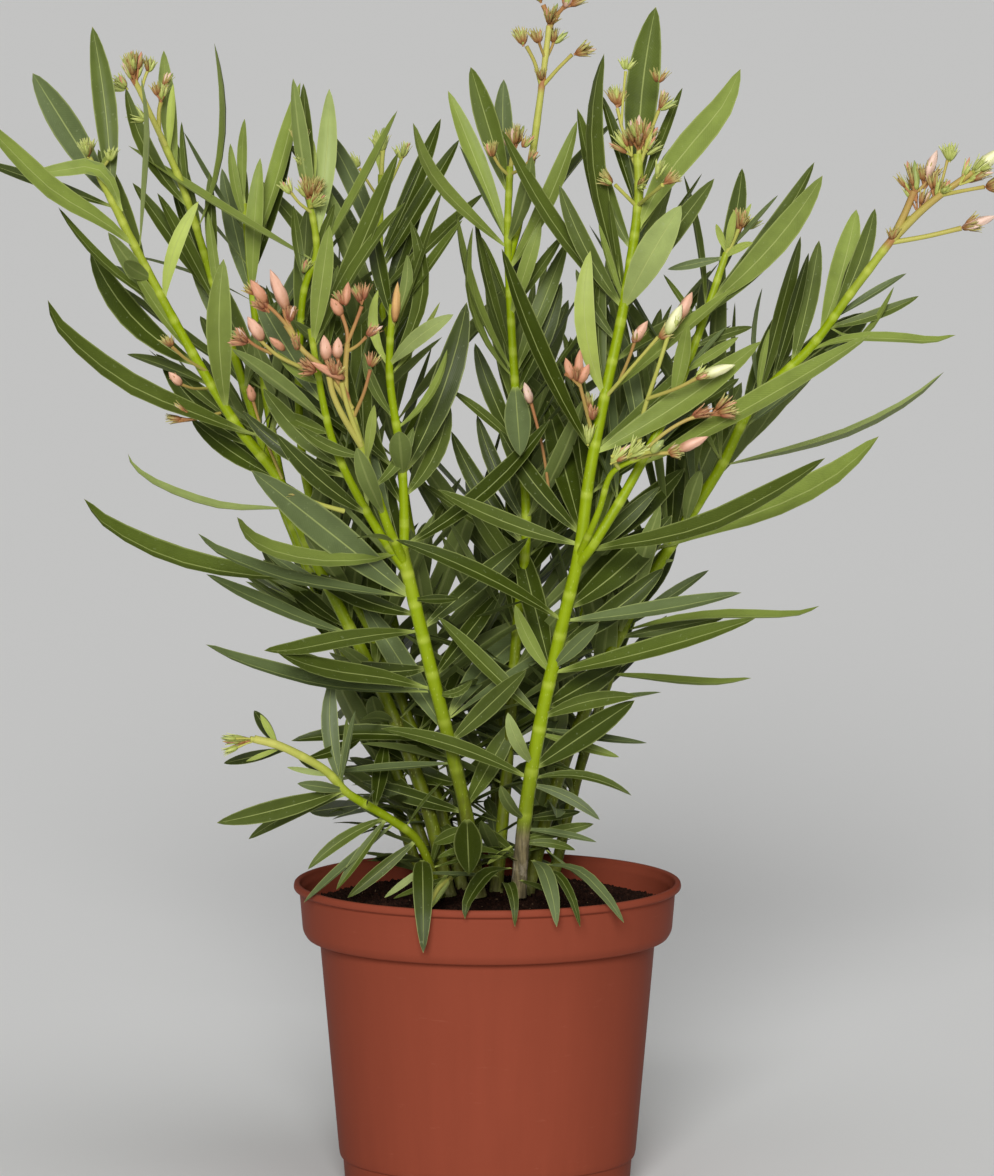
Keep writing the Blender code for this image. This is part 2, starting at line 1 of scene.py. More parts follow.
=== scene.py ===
"""Potted oleander: the looks of every surface, on the frame of its solid model.

The shoots repeat the solid model's routes. A seeded rule sets whorls of three leaves along them,
and the listed leaves take their turn in the whorl that they belong to.
Lengths are metres unless a name or a comment says otherwise; +Z is up, the front looks to -Y.
"""
import json
import math
import random
from collections import namedtuple

import bmesh
import bpy
import numpy as np
from bpy.props import FloatProperty, FloatVectorProperty, IntProperty, PointerProperty
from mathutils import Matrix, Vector

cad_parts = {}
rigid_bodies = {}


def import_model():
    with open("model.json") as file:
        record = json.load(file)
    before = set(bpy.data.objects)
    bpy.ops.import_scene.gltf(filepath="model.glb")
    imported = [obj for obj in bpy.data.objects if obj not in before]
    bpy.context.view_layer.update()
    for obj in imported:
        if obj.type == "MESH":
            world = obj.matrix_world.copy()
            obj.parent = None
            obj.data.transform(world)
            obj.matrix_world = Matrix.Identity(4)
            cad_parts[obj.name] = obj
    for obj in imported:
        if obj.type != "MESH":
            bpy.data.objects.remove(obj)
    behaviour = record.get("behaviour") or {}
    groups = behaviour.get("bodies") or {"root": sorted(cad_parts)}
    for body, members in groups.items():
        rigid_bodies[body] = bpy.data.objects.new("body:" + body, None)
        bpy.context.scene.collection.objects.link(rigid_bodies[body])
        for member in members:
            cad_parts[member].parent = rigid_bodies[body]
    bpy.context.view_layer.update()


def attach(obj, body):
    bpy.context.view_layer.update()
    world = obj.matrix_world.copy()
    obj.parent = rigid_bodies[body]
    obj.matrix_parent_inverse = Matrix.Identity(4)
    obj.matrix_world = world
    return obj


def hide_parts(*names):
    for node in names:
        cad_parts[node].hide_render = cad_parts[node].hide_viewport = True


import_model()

bl_info = {
    "name": "Potted Oleander",
    "version": (1, 0, 0),
    "blender": (4, 5, 0),
    "location": "3D View > Sidebar > Oleander",
    "description": "Grows a young oleander in a plastic pot on its solid model",
    "category": "Add Mesh",
}

CM = 0.01
MM = 0.001
BODY = "root"

# ---- Camera and front sheet ----
# Shoots and hand-set leaves are laid out on an upright front sheet through the pot's axis,
# in centimetres, as (across, up, depth). A point with depth slides along its sight line from
# EYE, so its place on the sheet holds however far forward or back it stands.
EYE = Vector((0.005, -3.477, 0.692))
CAMERA_PLACE = (0.0047, -3.4775, 0.6925)
CAMERA_PITCH = math.radians(6.5)        # looking down
CAMERA_LENS_MM = 219.6
SENSOR_MM = 36.0


def place(across, up, depth):
    """A point of the front sheet, slid along its sight line to the given depth."""
    flat = Vector((across, 0.0, up)) * CM
    return EYE + (flat - EYE) * ((depth * CM - EYE.y) / -EYE.y)


def on_sheet(point):
    """Where a point's sight line meets the front sheet, in centimetres."""
    flat = EYE + (point - EYE) * (-EYE.y / (point.y - EYE.y))
    return flat.x / CM, flat.z / CM


# ---- Tables: cells stand apart by spaces ----
def cell(text):
    """A cell of a table: a number, a point as numbers with commas between them, a word, or - for none."""
    if text == "-":
        return None
    if text[0].isalpha():
        return text
    values = tuple(float(value) for value in text.split(","))
    return values if len(values) > 1 else values[0]


def table(text):
    """Rows of cells. A line that starts with a space goes on with the row above; # starts a comment."""
    rows = []
    for line in text.strip("\n").splitlines():
        if line.startswith("#"):
            continue
        if not line.startswith(" "):
            rows.append([])
        rows[-1] += [cell(word) for word in line.split()]
    return rows


# ---- Shoots: name, foot and tip radius in mm, parent, part of the crown, route on the front sheet ----
Shoot = namedtuple("Shoot", "foot tip parent part route")

SHOOTS = {name: Shoot(foot, tip, parent, part, route) for name, foot, tip, parent, part, *route in table("""
stem_front_left 3.3 3.2 - front_left -0.4,14.4,-2 -1,18.3,-2.3 -1.85,22,-2.8 -2.85,26,-3.4 -4.2,31.6,-4
bough_front_left_leader 2.4 1.5 stem_front_left front_left -3.9,30.4,-3.85 -5.3,32.4,-4.4 -6.9,35.3,-5
 -7.8,37.8,-5.5 -8.6,42.3,-6
bough_front_left_bloom 2.5 1.5 stem_front_left front_left -4,30.8,-3.9 -4.75,32.4,-4.9 -5.3,34,-5.3
 -6.2,36.8,-6.2 -7,39.5,-7
bough_front_left_upright 2.5 1.7 stem_front_left front_left -4.1,31.2,-3.95 -4.05,33,-3.9 -4.2,36,-4
 -4.75,40,-4.3 -4.6,43.5,-4.5
stem_front_right 3.7 2.2 - front_right 1.5,14.4,-2.6 1.85,18.5,-2.9 2.6,23,-3.4 3.7,28,-4 4.5,31.5,-4.4
 4.95,35,-4.4 5.7,39,-4.2 6.6,43.3,-3.8 7.3,48.2,-3.4 7.3,50.8,-3.2
bough_front_right_outer 2.6 1.7 stem_front_right front_right 4.35,30.7,-4.3 5.3,32,-4.9 7.1,35,-4.6 9.1,39,-4
 10.6,43,-3.4 11.6,46,-3
bough_front_right_bloom 1.9 1.2 stem_front_right front_right 4.4,31.1,-4.35 5.1,32.6,-5.6 5.5,33.6,-6
 6.1,35.3,-6.6 7.6,36.1,-7.2
stem_right 3.4 2 - right 1.9,14.4,0.9 3.4,20,1.2 5.6,25.5,1.6 7.8,29.8,1.8 10.1,33.5,1.8 11.5,35.8,1.7
 13,38.7,1.6 15.7,41.4,1.4 17.7,44.1,1.2 19.6,46.6,1 20.6,47.7,1
stem_centre 3.2 1.7 - centre 0.4,14.4,0.6 0.9,20,0.7 1.4,27,0.9 1.9,33,1 1.35,39.6,1.1 1,46.2,1.1 1.1,50.2,1
bough_centre_top 2.2 1.4 stem_centre centre 1.02,45.6,1.1 1.5,47.4,1.9 2.1,50.2,2.2 2.65,54.2,2.3 3,57,2.3
stem_left 3.6 1.9 - left -1.9,14.4,-0.3 -3,19,-0.2 -4.9,24,0 -7.2,28.6,0 -8.6,31.4,0 -10.2,35,0 -12.2,37.6,-0.2
 -14.6,41.6,-0.4 -17,46.1,-0.7 -19,50.2,-0.9
stem_left_inner 3 1.6 - left -1.1,14.4,1.2 -2.7,20,1.6 -5.2,26.5,2 -8,32,2.2 -9.1,37,2.1 -9,43.5,1.7 -8.3,46,1.5
 -8.6,48.6,1.4
stem_left_back 3 1.7 - left -2.2,14.4,2.4 -4.6,21,3.4 -7.6,28,4.2 -10,34,4.6 -12,40,4.6 -13.6,45.5,4.2
 -14.7,49,3.8 -15.8,51.6,3.5
bough_left_back_inner 2.4 1.5 stem_left_back left -9.8,33.4,4.55 -10.6,38,5.8 -11.3,43,6 -11.8,48.4,5.8
stem_centre_back 2.9 1.6 - centre -0.4,14.4,2.5 -1.8,21,4.2 -3.2,29,5.4 -4.5,37.5,6 -5.2,44.5,6 -5.15,49.8,5.8
shoot_low_left 2.2 2 - foot -2.3,14.4,-2.6 -3.3,17,-3.4 -4.7,18.2,-4 -6.8,19.5,-4.8 -8,20.7,-5.3 -10,21.8,-5.9
 -11.4,22.2,-6.2
stem_back_left 3 1.7 - back -1,14.4,3.8 -3,22,7 -5.6,32,10.6 -8,42.5,12.6
stem_back_right 3 1.7 - back 1.3,14.4,2.8 3.2,22,6.2 5.6,32,10 8.2,42.5,12.4
stem_back_centre 2.9 1.7 - back 0.3,14.4,4 0.5,22,6.8 0.9,31,9.6 1.6,41,11.4
stem_far_left 2.8 1.7 - back -2.9,14.4,3.6 -5.6,22,6.8 -8.6,30,9.4 -12,38.5,11
stem_far_right 2.8 1.7 - back 3,14.4,2.4 4.9,22,5.2 7.8,29.8,7.8 11.2,35.4,9 13.4,38.6,9.4
""")}

# Heights above which a flowering shoot is bare of the rule's leaves
BARE_ABOVE = {"bough_front_left_bloom": 37.0, "bough_front_right_bloom": 33.0, "bough_centre_top": 47.0}

# The solids that each part of the crown stands for
MASSES_OF_PART = {
    "left": ("mass_left_outer", "mass_left", "mass_left_back_top", "mass_left_inner", "mass_left_mid",
             "mass_left_middle", "mass_left_lower"),
    "front_left": ("mass_front_left",),
    "centre": ("mass_core", "mass_centre_middle", "mass_centre_top", "mass_centre_left"),
    "front_right": ("mass_front_right", "mass_front_right_top", "mass_right_inner"),
    "right": ("mass_right_lower", "mass_right_middle", "mass_right_outer"),
    "back": ("mass_back_left", "mass_back_centre", "mass_back_right", "mass_far_left", "mass_far_right",
             "mass_back_lower"),
    "foot": ("mass_low_shoot", "mass_foot_left", "mass_foot_right"),
}
BLOSSOM_MASSES = ("mass_left_bloom", "bloom_top", "bloom_right")

# ---- Leaves set one by one ----
# (height on the shoot, tip across, tip up, bow to the left, visible width, tint[, lean]), cm.
# Lean 1 leads away from the front, -1 towards it; a tint brings its own where none is given.
# Of these tints, lit is painted light, deep is painted shade over the darker green of old blades, and pale is a
# painted sheen.
TINTS = ("deep", "mid", "lit", "fresh", "grey", "pale", "dry")
TINT_LEAN = {"deep": 1, "mid": 0, "lit": -0.6, "fresh": 0, "grey": -0.6, "pale": -0.5, "dry": 0}

SET_LEAVES = {
    "stem_left": table("""
48 -24.7 50.5 0 0.6 deep
48.6 -22 54.7 0 1.45 grey 1
48.6 -19.1 56.95 -0.2 1.15 mid 1
43.2 -20.8 48.2 0.5 0.45 mid
40.3 -19.25 46.1 0.75 1.3 deep
41.5 -18.4 47 0 1 mid
43.6 -14 48.5 0.35 0.7 fresh -0.4
34.9 -14.4 37.9 0.2 0.9 deep
38.3 -12.8 45.7 0.3 1.25 lit
40.8 -17.4 45.6 0.15 0.6 lit
49.6 -18.1 51 0.1 0.3 fresh
44.6 -17.6 45.6 0.1 0.8 mid
36.5 -15.9 41 0.5 1 deep
"""),
    "stem_front_left": table("""
29 -11.5 35.4 0 1.7 grey
22 -9.6 22.1 -0.4 0.8 deep
31.7 3.05 37.9 -0.6 0.9 deep 0
27.5 2 32.1 0 1 deep
24.3 -0.75 25.1 -0.3 0.45 mid
29 -1.4 29.1 0 0.45 deep -1
22 1.9 25.6 0 1 mid
18.6 1.4 23.2 0 1.1 mid
20.9 -7.4 20.55 0 0.4 grey
18.4 -6.2 20.1 0 0.8 deep
17.8 -2.65 17.05 0 0.7 mid
18.2 -0.9 15.5 0 1.4 deep -1
25.6 -8.2 25.9 0.3 1 deep
28.2 -8.6 30.4 0.3 0.9 deep
19.8 -4.4 21.2 0.2 0.9 deep
21 -6.1 24.2 0.2 0.9 deep
22.4 -6.15 29 0 1.2 grey 1
25 0.6 29.4 0 0.9 deep
"""),
    "bough_front_left_leader": table("""
41.5 -7.65 47.35 0 0.95 lit
41.5 -4.3 50.9 -0.2 0.9 mid 1
41 -4 48.45 0.3 0.6 mid 1
35.5 -10.9 39.4 0.3 1 mid
33.2 -10.3 37.2 0.3 0.9 deep -1
36.2 -8.8 37.5 0.2 0.9 mid
38.6 -11.3 44.1 0.1 1.15 grey 1
35 -11.9 38.3 0.5 0.8 deep
39.5 -10.2 41.2 0.2 0.5 lit
37 -9.9 38.2 0.1 0.7 mid
"""),
    "bough_front_left_bloom": table("""
35.6 -5.5 38.6 0 0.5 fresh -1
33.2 -6.35 36.5 0.1 0.9 grey -1
34.5 -3.6 37.5 -0.3 0.6 mid
36 -9.2 37.6 0.3 0.6 mid
"""),
    "bough_front_left_upright": table("""
40.3 -3.75 47.6 -1.1 0.75 mid
40.5 -1.65 43 0.2 0.8 pale
35 -1 43.6 -0.4 1.4 deep 0
37.2 -1.95 41.3 -0.5 0.4 lit
34.9 -4.3 37.3 0 1.1 pale
40.3 -5.3 44.2 0.5 0.5 fresh
40 -2.3 43.6 -0.2 0.3 fresh
37.8 -6 41.2 0.3 0.5 mid
42.6 -5.6 47.4 0.1 0.8 deep
33.6 -6.4 39 0.2 0.9 deep
42.5 -3.9 45.9 -0.3 0.6 mid
42.6 -1.2 47.6 0 0.5 mid
41.5 -2.2 49 0 0.5 mid
34 -1.9 38.8 -0.5 0.9 mid 1
"""),
    "shoot_low_left": table("""
21.8 -11.4 23.6 0 0.6 deep
21.8 -11.1 23.4 0 0.35 fresh
21.7 -12.9 21 0 0.55 deep
21.75 -11.8 21.1 0 0.25 fresh
20.2 -9.8 20.8 0 0.3 pale
19.6 -9.3 20 0 0.55 grey
19.6 -13.25 18.05 0.1 1 mid -1
19.4 -11.7 17.25 -0.3 0.7 mid
18.9 -8.7 18.6 0 0.8 deep
18.2 -8.8 15.75 -0.3 0.6 mid
18.3 -7.4 14.75 0 0.5 mid
18 -9 14.1 0 0.42 grey
21.2 -6.2 22.2 -0.1 0.6 deep
20.4 -9.4 21.6 0.1 0.5 deep
17.2 -6.85 14.35 0 0.6 mid
16 -5.05 14.35 0 0.35 pale
19.6 -7.55 25.3 0.4 0.85 grey 0.5
19.7 -6.45 23.6 0 0.3 grey
19.9 -6.9 23.2 -0.2 0.4 mid
18.6 -5 22 0 0.8 deep
"""),
    "stem_front_right": table("""
19.8 5.5 18.2 0.3 0.55 grey 0
20.1 7.05 19.4 0.55 0.45 mid
18.2 4.55 18.6 0 0.5 deep
17.2 5.2 18 0 0.6 mid
17.6 5.35 17.1 0.1 0.35 grey 0
17 4.3 16.7 0.2 0.45 mid
21 4.6 20.5 0 0.2 deep
22.3 6.45 21.3 0 0.5 lit 1
22.5 7.8 22 -0.1 0.4 grey 1
23.1 7.3 24.3 0.3 0.8 mid -1
23.3 8.5 24.5 0 0.3 grey
20.6 7.2 24.1 0 1.2 deep 0
23.6 6.6 25.9 0 1.2 deep 0.3
25.4 13.1 28.15 -0.2 0.95 mid -1
27.95 12.4 29.4 -0.2 0.75 grey -0.6
28.6 7.9 32.6 0 1.3 deep
31 9.6 35.5 -0.1 1.2 deep
25.6 5.45 27.9 0 0.75 grey
44 11 49.6 0 1 mid
43.2 9.4 48.3 0.1 1.55 pale -0.3
48.5 9.45 54 0 0.5 mid
48.8 8.15 57.9 0.3 1.75 mid 1
48 5.5 53.7 0 0.6 deep
44 4.35 53 0.15 0.9 mid
43.3 3.5 49.3 0.3 0.9 mid
43.3 0.7 52 0.5 0.8 mid 0
36 0.7 46.2 0.4 0.9 deep 0
38.9 5 46.1 0.6 1 fresh -0.4
36.2 13.3 41.7 -0.3 1.25 lit -1
38.9 12 44.3 0 0.65 lit
31.7 -2.4 34.45 0.3 0.85 mid -1
28 -4.5 32 -0.3 0.8 deep -1
23.2 -2.4 28.2 0.1 0.8 mid 0
25.4 1.35 28.8 0.2 0.7 lit
25.4 1.5 32 0 1.2 deep
20.9 1 23.5 0.2 0.7 pale
18 0.65 19.9 0.2 0.6 dry -1
20 -5.2 22.7 -0.35 0.75 mid -1
32 2.9 38.8 0 1.3 deep
36.4 10.6 41.4 -0.3 0.7 mid 1
41.6 4.3 45.2 0.2 0.6 mid
46 5.2 51.2 0.3 0.9 mid
30.6 8.4 34.6 0 0.8 deep
39.2 5.6 45.3 0.3 0.7 mid
28.3 9 33.2 -0.3 1.4 deep 0
26.6 8.6 30.6 -0.2 1.1 deep 0
43.5 5.4 47.4 0.1 0.35 lit
43.5 4.9 46 0.15 0.35 mid
43.6 5.9 48.6 0.1 0.4 mid
32 0.6 37.4 0.3 1 deep 1
"""),
    "bough_front_right_outer": table("""
35.6 18.6 42 -0.15 1 lit -1
40 12.2 41.9 0 0.5 lit
40.2 11.6 42.4 0 0.25 grey
43.4 16.25 49.75 -0.4 1.3 lit -0.6
43.6 15.85 50.4 -0.45 0.8 mid 1.6
44.5 12.35 50.1 -0.2 0.9 deep
38.6 9.75 42.6 -0.05 0.75 lit
42.2 8.55 44.95 0 0.3 mid
45.6 8.75 45.2 0 0.45 grey
45.9 11.1 47.4 0 0.35 fresh
45.9 12 48.1 0 0.4 fresh
45.9 12.8 48.4 0 0.35 fresh
45.9 14.1 48.8 0 0.25 grey
45.6 12.9 46.5 0.1 0.4 fresh
42.8 14.6 46.6 0 0.7 mid
41.2 12.9 42.4 0.1 0.5 mid
"""),
    "stem_right": table("""
32.6 10.4 35.4 0.1 0.8 pale -0.6
42.2 20.95 43.9 -0.2 0.55 mid
42.6 20.35 45 0 0.4 grey 1
41.8 17.9 48.1 -0.15 1.25 lit 1
42.6 18.8 48.15 -0.25 0.9 mid 1
39.5 15.6 46 0 0.6 deep
38.8 15.2 46.8 0 0.75 mid
38.8 13.7 42.3 0.1 0.35 lit
38.9 13.35 44.3 0.45 0.25 grey
27 11.6 28.2 0 0.7 mid
27.5 10.8 30.5 0 0.55 grey
30.9 9.1 31 0 0.15 pale
28 9.2 32 0 1.1 deep
40.4 16.1 46.6 -0.1 0.95 mid 1
43 18.2 46.4 0 0.7 deep
37.4 14.2 43.2 0 0.9 deep
"""),
    "stem_centre": table("""
36.3 -1.75 39.3 -0.1 0.5 mid
45 4.35 52.4 -0.35 0.85 lit
40.5 -0.6 47.7 0.25 0.5 mid
48.8 -0.8 55 0 1.15 mid 1
48.6 0.8 54.4 0.15 1 grey 1
46.3 2.15 50.7 -0.2 0.8 deep -1
46.4 -1.9 53.85 0 0.95 lit 0
39.6 -0.7 47.25 1.1 0.4 lit
40 -1.5 48 0.6 0.45 lit 0
42.8 2.6 47.5 0 0.75 lit
43 3.7 46.9 0 0.55 mid
46.4 -1.35 51.2 0.1 0.2 grey
39.5 1.6 36.1 0 1.3 grey
30 4.4 34.3 0 1.1 deep
30 -1 34 0 0.9 mid
31 -3.35 34.85 0 0.5 mid
43 -0.3 46.8 0 0.3 mid
43 1.8 46.5 0 0.6 deep
31.5 -1.75 37.3 0.35 0.9 deep 0.5
32.5 -0.5 38.1 0.25 0.8 deep 0.5
39.6 3 43.8 0 0.7 deep
40 3.9 46.6 0 0.9 mid 0.6
39 3.6 44.6 -0.2 0.9 deep 0.6
36 -0.6 41.6 0.2 0.9 deep
"""),
    "stem_centre_back": table("""
45.5 -2.25 52.5 -0.1 0.85 deep
44.8 -1.35 51.5 0 0.8 deep
44 -0.15 48.9 0 0.6 mid
45.6 -8.1 52.3 -0.3 1 grey -0.6
49.8 -5.4 52 0 0.45 fresh
43 -3 49.2 0 0.8 deep
41 -7.2 48 0 0.9 deep
"""),
    "stem_left_inner": table("""
45.3 -4.35 52.9 -0.2 0.45 lit 0
46.5 -7.65 53.95 -0.15 1 pale 0
48 -8.9 54.2 0 0.7 mid
48.6 -8.45 51.5 0 0.5 fresh
44.3 -9.4 48.3 0.1 0.5 mid
45.5 -17.4 51.2 0.2 0.42 lit 0
47 -9.4 54.45 0.1 0.8 mid
44 -7.4 48.4 0 0.6 mid
43.2 -7.6 46.6 0 0.6 mid
"""),
    "bough_left_back_inner": table("""
45.5 -9.05 54.25 -0.2 0.85 lit 0
44.5 -9.4 52 0 0.9 deep
43.8 -11 50.6 0.1 0.85 lit
48.4 -11.75 52.5 0.1 0.5 lit 0
47.3 -12.45 51.3 0.15 0.5 lit 0
46.8 -14.7 51.85 0.2 0.25 grey
"""),
    "stem_left_back": table("""
47 -13.2 56.15 -0.9 0.3 lit 0
48 -14.8 52.35 0 0.35 mid
49.8 -15.65 55.8 0.1 0.85 lit 0.6
48 -17.5 54 0.55 0.8 mid
43.5 -17.2 49.4 0 0.8 mid
43 -16 48.9 0 0.7 mid
42.5 -15.3 49.3 0 0.8 deep
43 -13.55 48 0 0.5 lit
44 -13.45 49.9 0 0.6 mid
50.6 -15.2 54.2 0 0.4 fresh
46 -15.2 51.6 0 0.7 mid
41 -14.6 46.4 0 0.8 mid
"""),
}

# Arching leaves: (shoot, visible width, tint, depth gained, (across, up) from foot to tip)
ARCHED_LEAVES = table("""
stem_left 0.75 lit -2 -17.75,48 -18.15,49.2 -18.7,49.95 -19.4,50.2 -20.4,50.05 -21.5,49.9 -22.3,49.8
stem_left 1 mid -5 -11.2,37.1 -12.5,37.5 -14,38.1 -15.4,38.6 -17.5,39.6 -19.4,41 -20.9,42.5 -21.35,43.7
stem_left 0.4 pale 1 -9.6,33.5 -11,33.5 -12.5,33.5 -14,33.8 -16,34.6 -17.2,35.5 -17.5,36.2
stem_left 0.95 mid -4 -8,30.1 -11,30.2 -14,30.65 -16.5,31.5 -18.7,32.8 -19.65,34
stem_left 0.7 grey -2 -6.7,27.35 -8.6,27.95 -10.5,28.75 -12.2,29.5 -13.7,30.3
stem_left 1 lit -5 -17.05,46.25 -18.2,47.2 -19.5,48.05 -20.8,48.8 -22,49.85 -23.6,51.5 -24.6,52.6
stem_left 0.3 pale 1 -16.85,46.3 -16.7,47.8 -16.5,50 -16.4,51.8 -16.5,53.2 -16.75,54.5
stem_front_left 0.65 grey -3 -4,29.2 -6.5,29.5 -9.5,30 -11.6,30.7 -13.3,31.5 -14.1,32.3
stem_front_left 0.8 lit -6 -4.2,31.4 -6,31 -8.4,31 -10.6,31.5 -11.7,32.2 -12.2,33.1
stem_front_left 0.7 grey -4 -2.9,24.5 -5.5,24.6 -8,24.85 -10.5,25.5 -12.4,26.15 -13.75,26.85
stem_front_left 0.95 mid -6 -2.9,24.7 -5,25.2 -7.2,25.5 -8.9,25.9 -10.3,26.5
stem_front_left 0.85 mid -6 -3.4,27.5 -5.2,27.35 -7.4,27 -9.4,26.6 -10.9,26.55
stem_front_right 1 mid -4 4.6,31.4 6.5,31.75 8.6,32.1 11,32.8 13.4,34 15.2,35.1 16.45,36
stem_front_right 1.4 lit -2 7.35,47.2 8.2,49 9.4,50.7 10.5,52 11.5,53.3 12.25,54.9
stem_front_right 0.9 mid 0 6.5,44.2 5.9,46.5 5.3,49 5.05,51.2 5.1,53 5.3,54.4 5.65,55.65
stem_right 0.3 lit 0 16.6,42.4 17.5,41.9 18.3,42 18.9,42.7 19.4,43.6 19.75,44.35
stem_right 1.3 lit -4 8.2,31.5 10.5,32.45 13,33.25 15.3,34.2 17.3,35.4 19.05,37.05
stem_right 0.24 pale 1 11.4,35.6 12.4,35.8 15,36.35 17.4,37.05 19.4,38 21,39.05 22.2,40.2
stem_right 0.5 lit -2 15.6,41.2 16.8,41.65 18.2,41.85 20,41.8 21.6,41.7 22.75,42
stem_right 0.45 lit -2 6.6,27.5 9,28 11.5,28.2 14,28.2 15.4,28.35 16.2,28.75
stem_right 0.42 lit -2 5.6,25.4 7.4,25.25 9.6,25 11.4,24.95 12.9,25.2
stem_centre 0.7 lit -4 1,46.2 -0.3,47.3 -1.4,48.3 -2.5,49.5 -3.2,50.8 -3.6,52.3
""")

# Short leaves over the compost: (foot across, up, depth), (tip across, up, depth), width, tint
BASAL_LEAVES = table("""
-3.2,16.2,-3.6 -3.15,11.6,-10 1 deep
1.2,15.8,-4.2 -1.1,13.3,-9.9 0.85 deep
0.7,14.8,-4.4 1.35,12.9,-9.9 0.6 deep
2.2,16.2,-4.4 3.4,12.9,-9.9 0.8 grey
2.5,15.6,-4 4.55,12.9,-9.9 0.5 deep
2.7,16,-3.8 6.7,13.1,-9 0.65 grey
2.9,16.7,-3.4 5.4,14.7,-7.4 0.2 grey
0.5,15.4,-4 -3.1,15.55,-6.6 0.45 grey
1.6,15.2,-4.4 3,14.6,-8.2 0.5 deep
-1,15.6,-3.8 -4.6,14.3,-7 0.5 mid
-2,15.5,-4.4 -2.9,13.7,-8.8 0.5 fresh
1.2,16.9,-3.4 0,16,-5.2 0.35 fresh
""")

# ---- Sky: the rule's leaves stay inside the crown's outline and out of its gaps, cm on the sheet
CROWN_OUTLINE = table("""
-20.6,53.2 -18.6,55.6 -17,54.8 -15.4,55 -14.6,51.6 -12.6,50.6 -11.6,51.8 -10.6,50.2 -9,53.4 -7.6,53.2 -6.4,50.2
 -5,51.8 -4.4,50 -2.6,51 -1.6,49.6 -1.2,52.6 0.9,54 2,50.6 4.2,50.6 5.4,54.2 6.8,54.4 8,57 9,53.6 11.8,54
 10.6,49.4 12,49.6 12.6,47.6 15.6,49.8 15.2,46.6 18.6,47.4 17.8,44.6 18.6,43.2 18.4,42.2 14.4,38.6 12.4,36.6
 11,34.6 10,33.4 8.2,32 7.2,30.4 7.6,28.6 11,27.8 6.6,25.8 5.6,23.6 3.8,21.6 4,19.4 4.6,17.4 3,16.2 3.2,15.2
 -4.6,15.2 -7,16.6 -8.4,18.8 -7.2,21.4 -7.2,24.6 -9.8,26 -10.6,28.8 -12,30 -12.6,31.2 -9.2,32.2 -10.4,34.6
 -12.2,36.2 -14.4,38.2 -18.4,40.8 -16.2,42 -18.8,45 -18.4,48.2 -20.2,50.4
""")[0]
# (centre across, up, half width, half height)
CROWN_GAPS = table("""
-10,45.8,0.5,1.2 -14.9,43.2,0.5,1.4 -11.8,43,0.5,0.9 -9.9,36,0.8,0.9 -8.9,34.9,0.5,0.5 -2.3,46.6,0.9,2.2
 -0.6,48.3,0.6,1 -2,43.6,0.7,0.8 -0.5,42.6,0.5,1.4 -0.6,39,0.5,0.8 -0.6,36.8,1.2,1.3 3.2,51.2,0.9,1.6
 2.6,47.6,0.5,0.8 8,44.3,0.7,0.8 9.6,45.4,0.4,1.2 13.4,43.8,0.7,1.2 13.6,47,0.9,0.9 14.9,45.9,0.5,0.8
 7.2,34.2,0.9,1.2 10.6,36.4,1,0.4 10.6,34.3,0.6,0.6 -4.4,34.4,0.4,1 -3.2,34,0.4,0.6 8.3,29.4,0.5,0.4
 -17.9,52.5,0.15,1.6 -17.3,50.9,0.15,0.6 -14.2,50.6,0.3,0.8 0.2,38.6,0.4,1.2 0.4,36.3,0.5,0.6 -9.4,27.4,1.6,0.4
 11.1,48.8,0.4,1.8 -10.4,33.2,0.8,0.9 9.8,52.4,0.3,1.6 -9.4,23.4,1.2,1.4 -8.4,36,0.3,0.6 0.9,18.6,0.3,0.6
""")[0]

# ---- Flower heads, cm on the front sheet with depth ----
Stalk = namedtuple("Stalk", "foot tip blush route")        # radii in mm; blush 0 green to 1 red-brown
Bud = namedtuple("Bud", "foot tip radius kind")            # radius in mm
Head = namedtuple("Head", "foot across up depth count reach tint")   # aim on the sheet, reach in cm

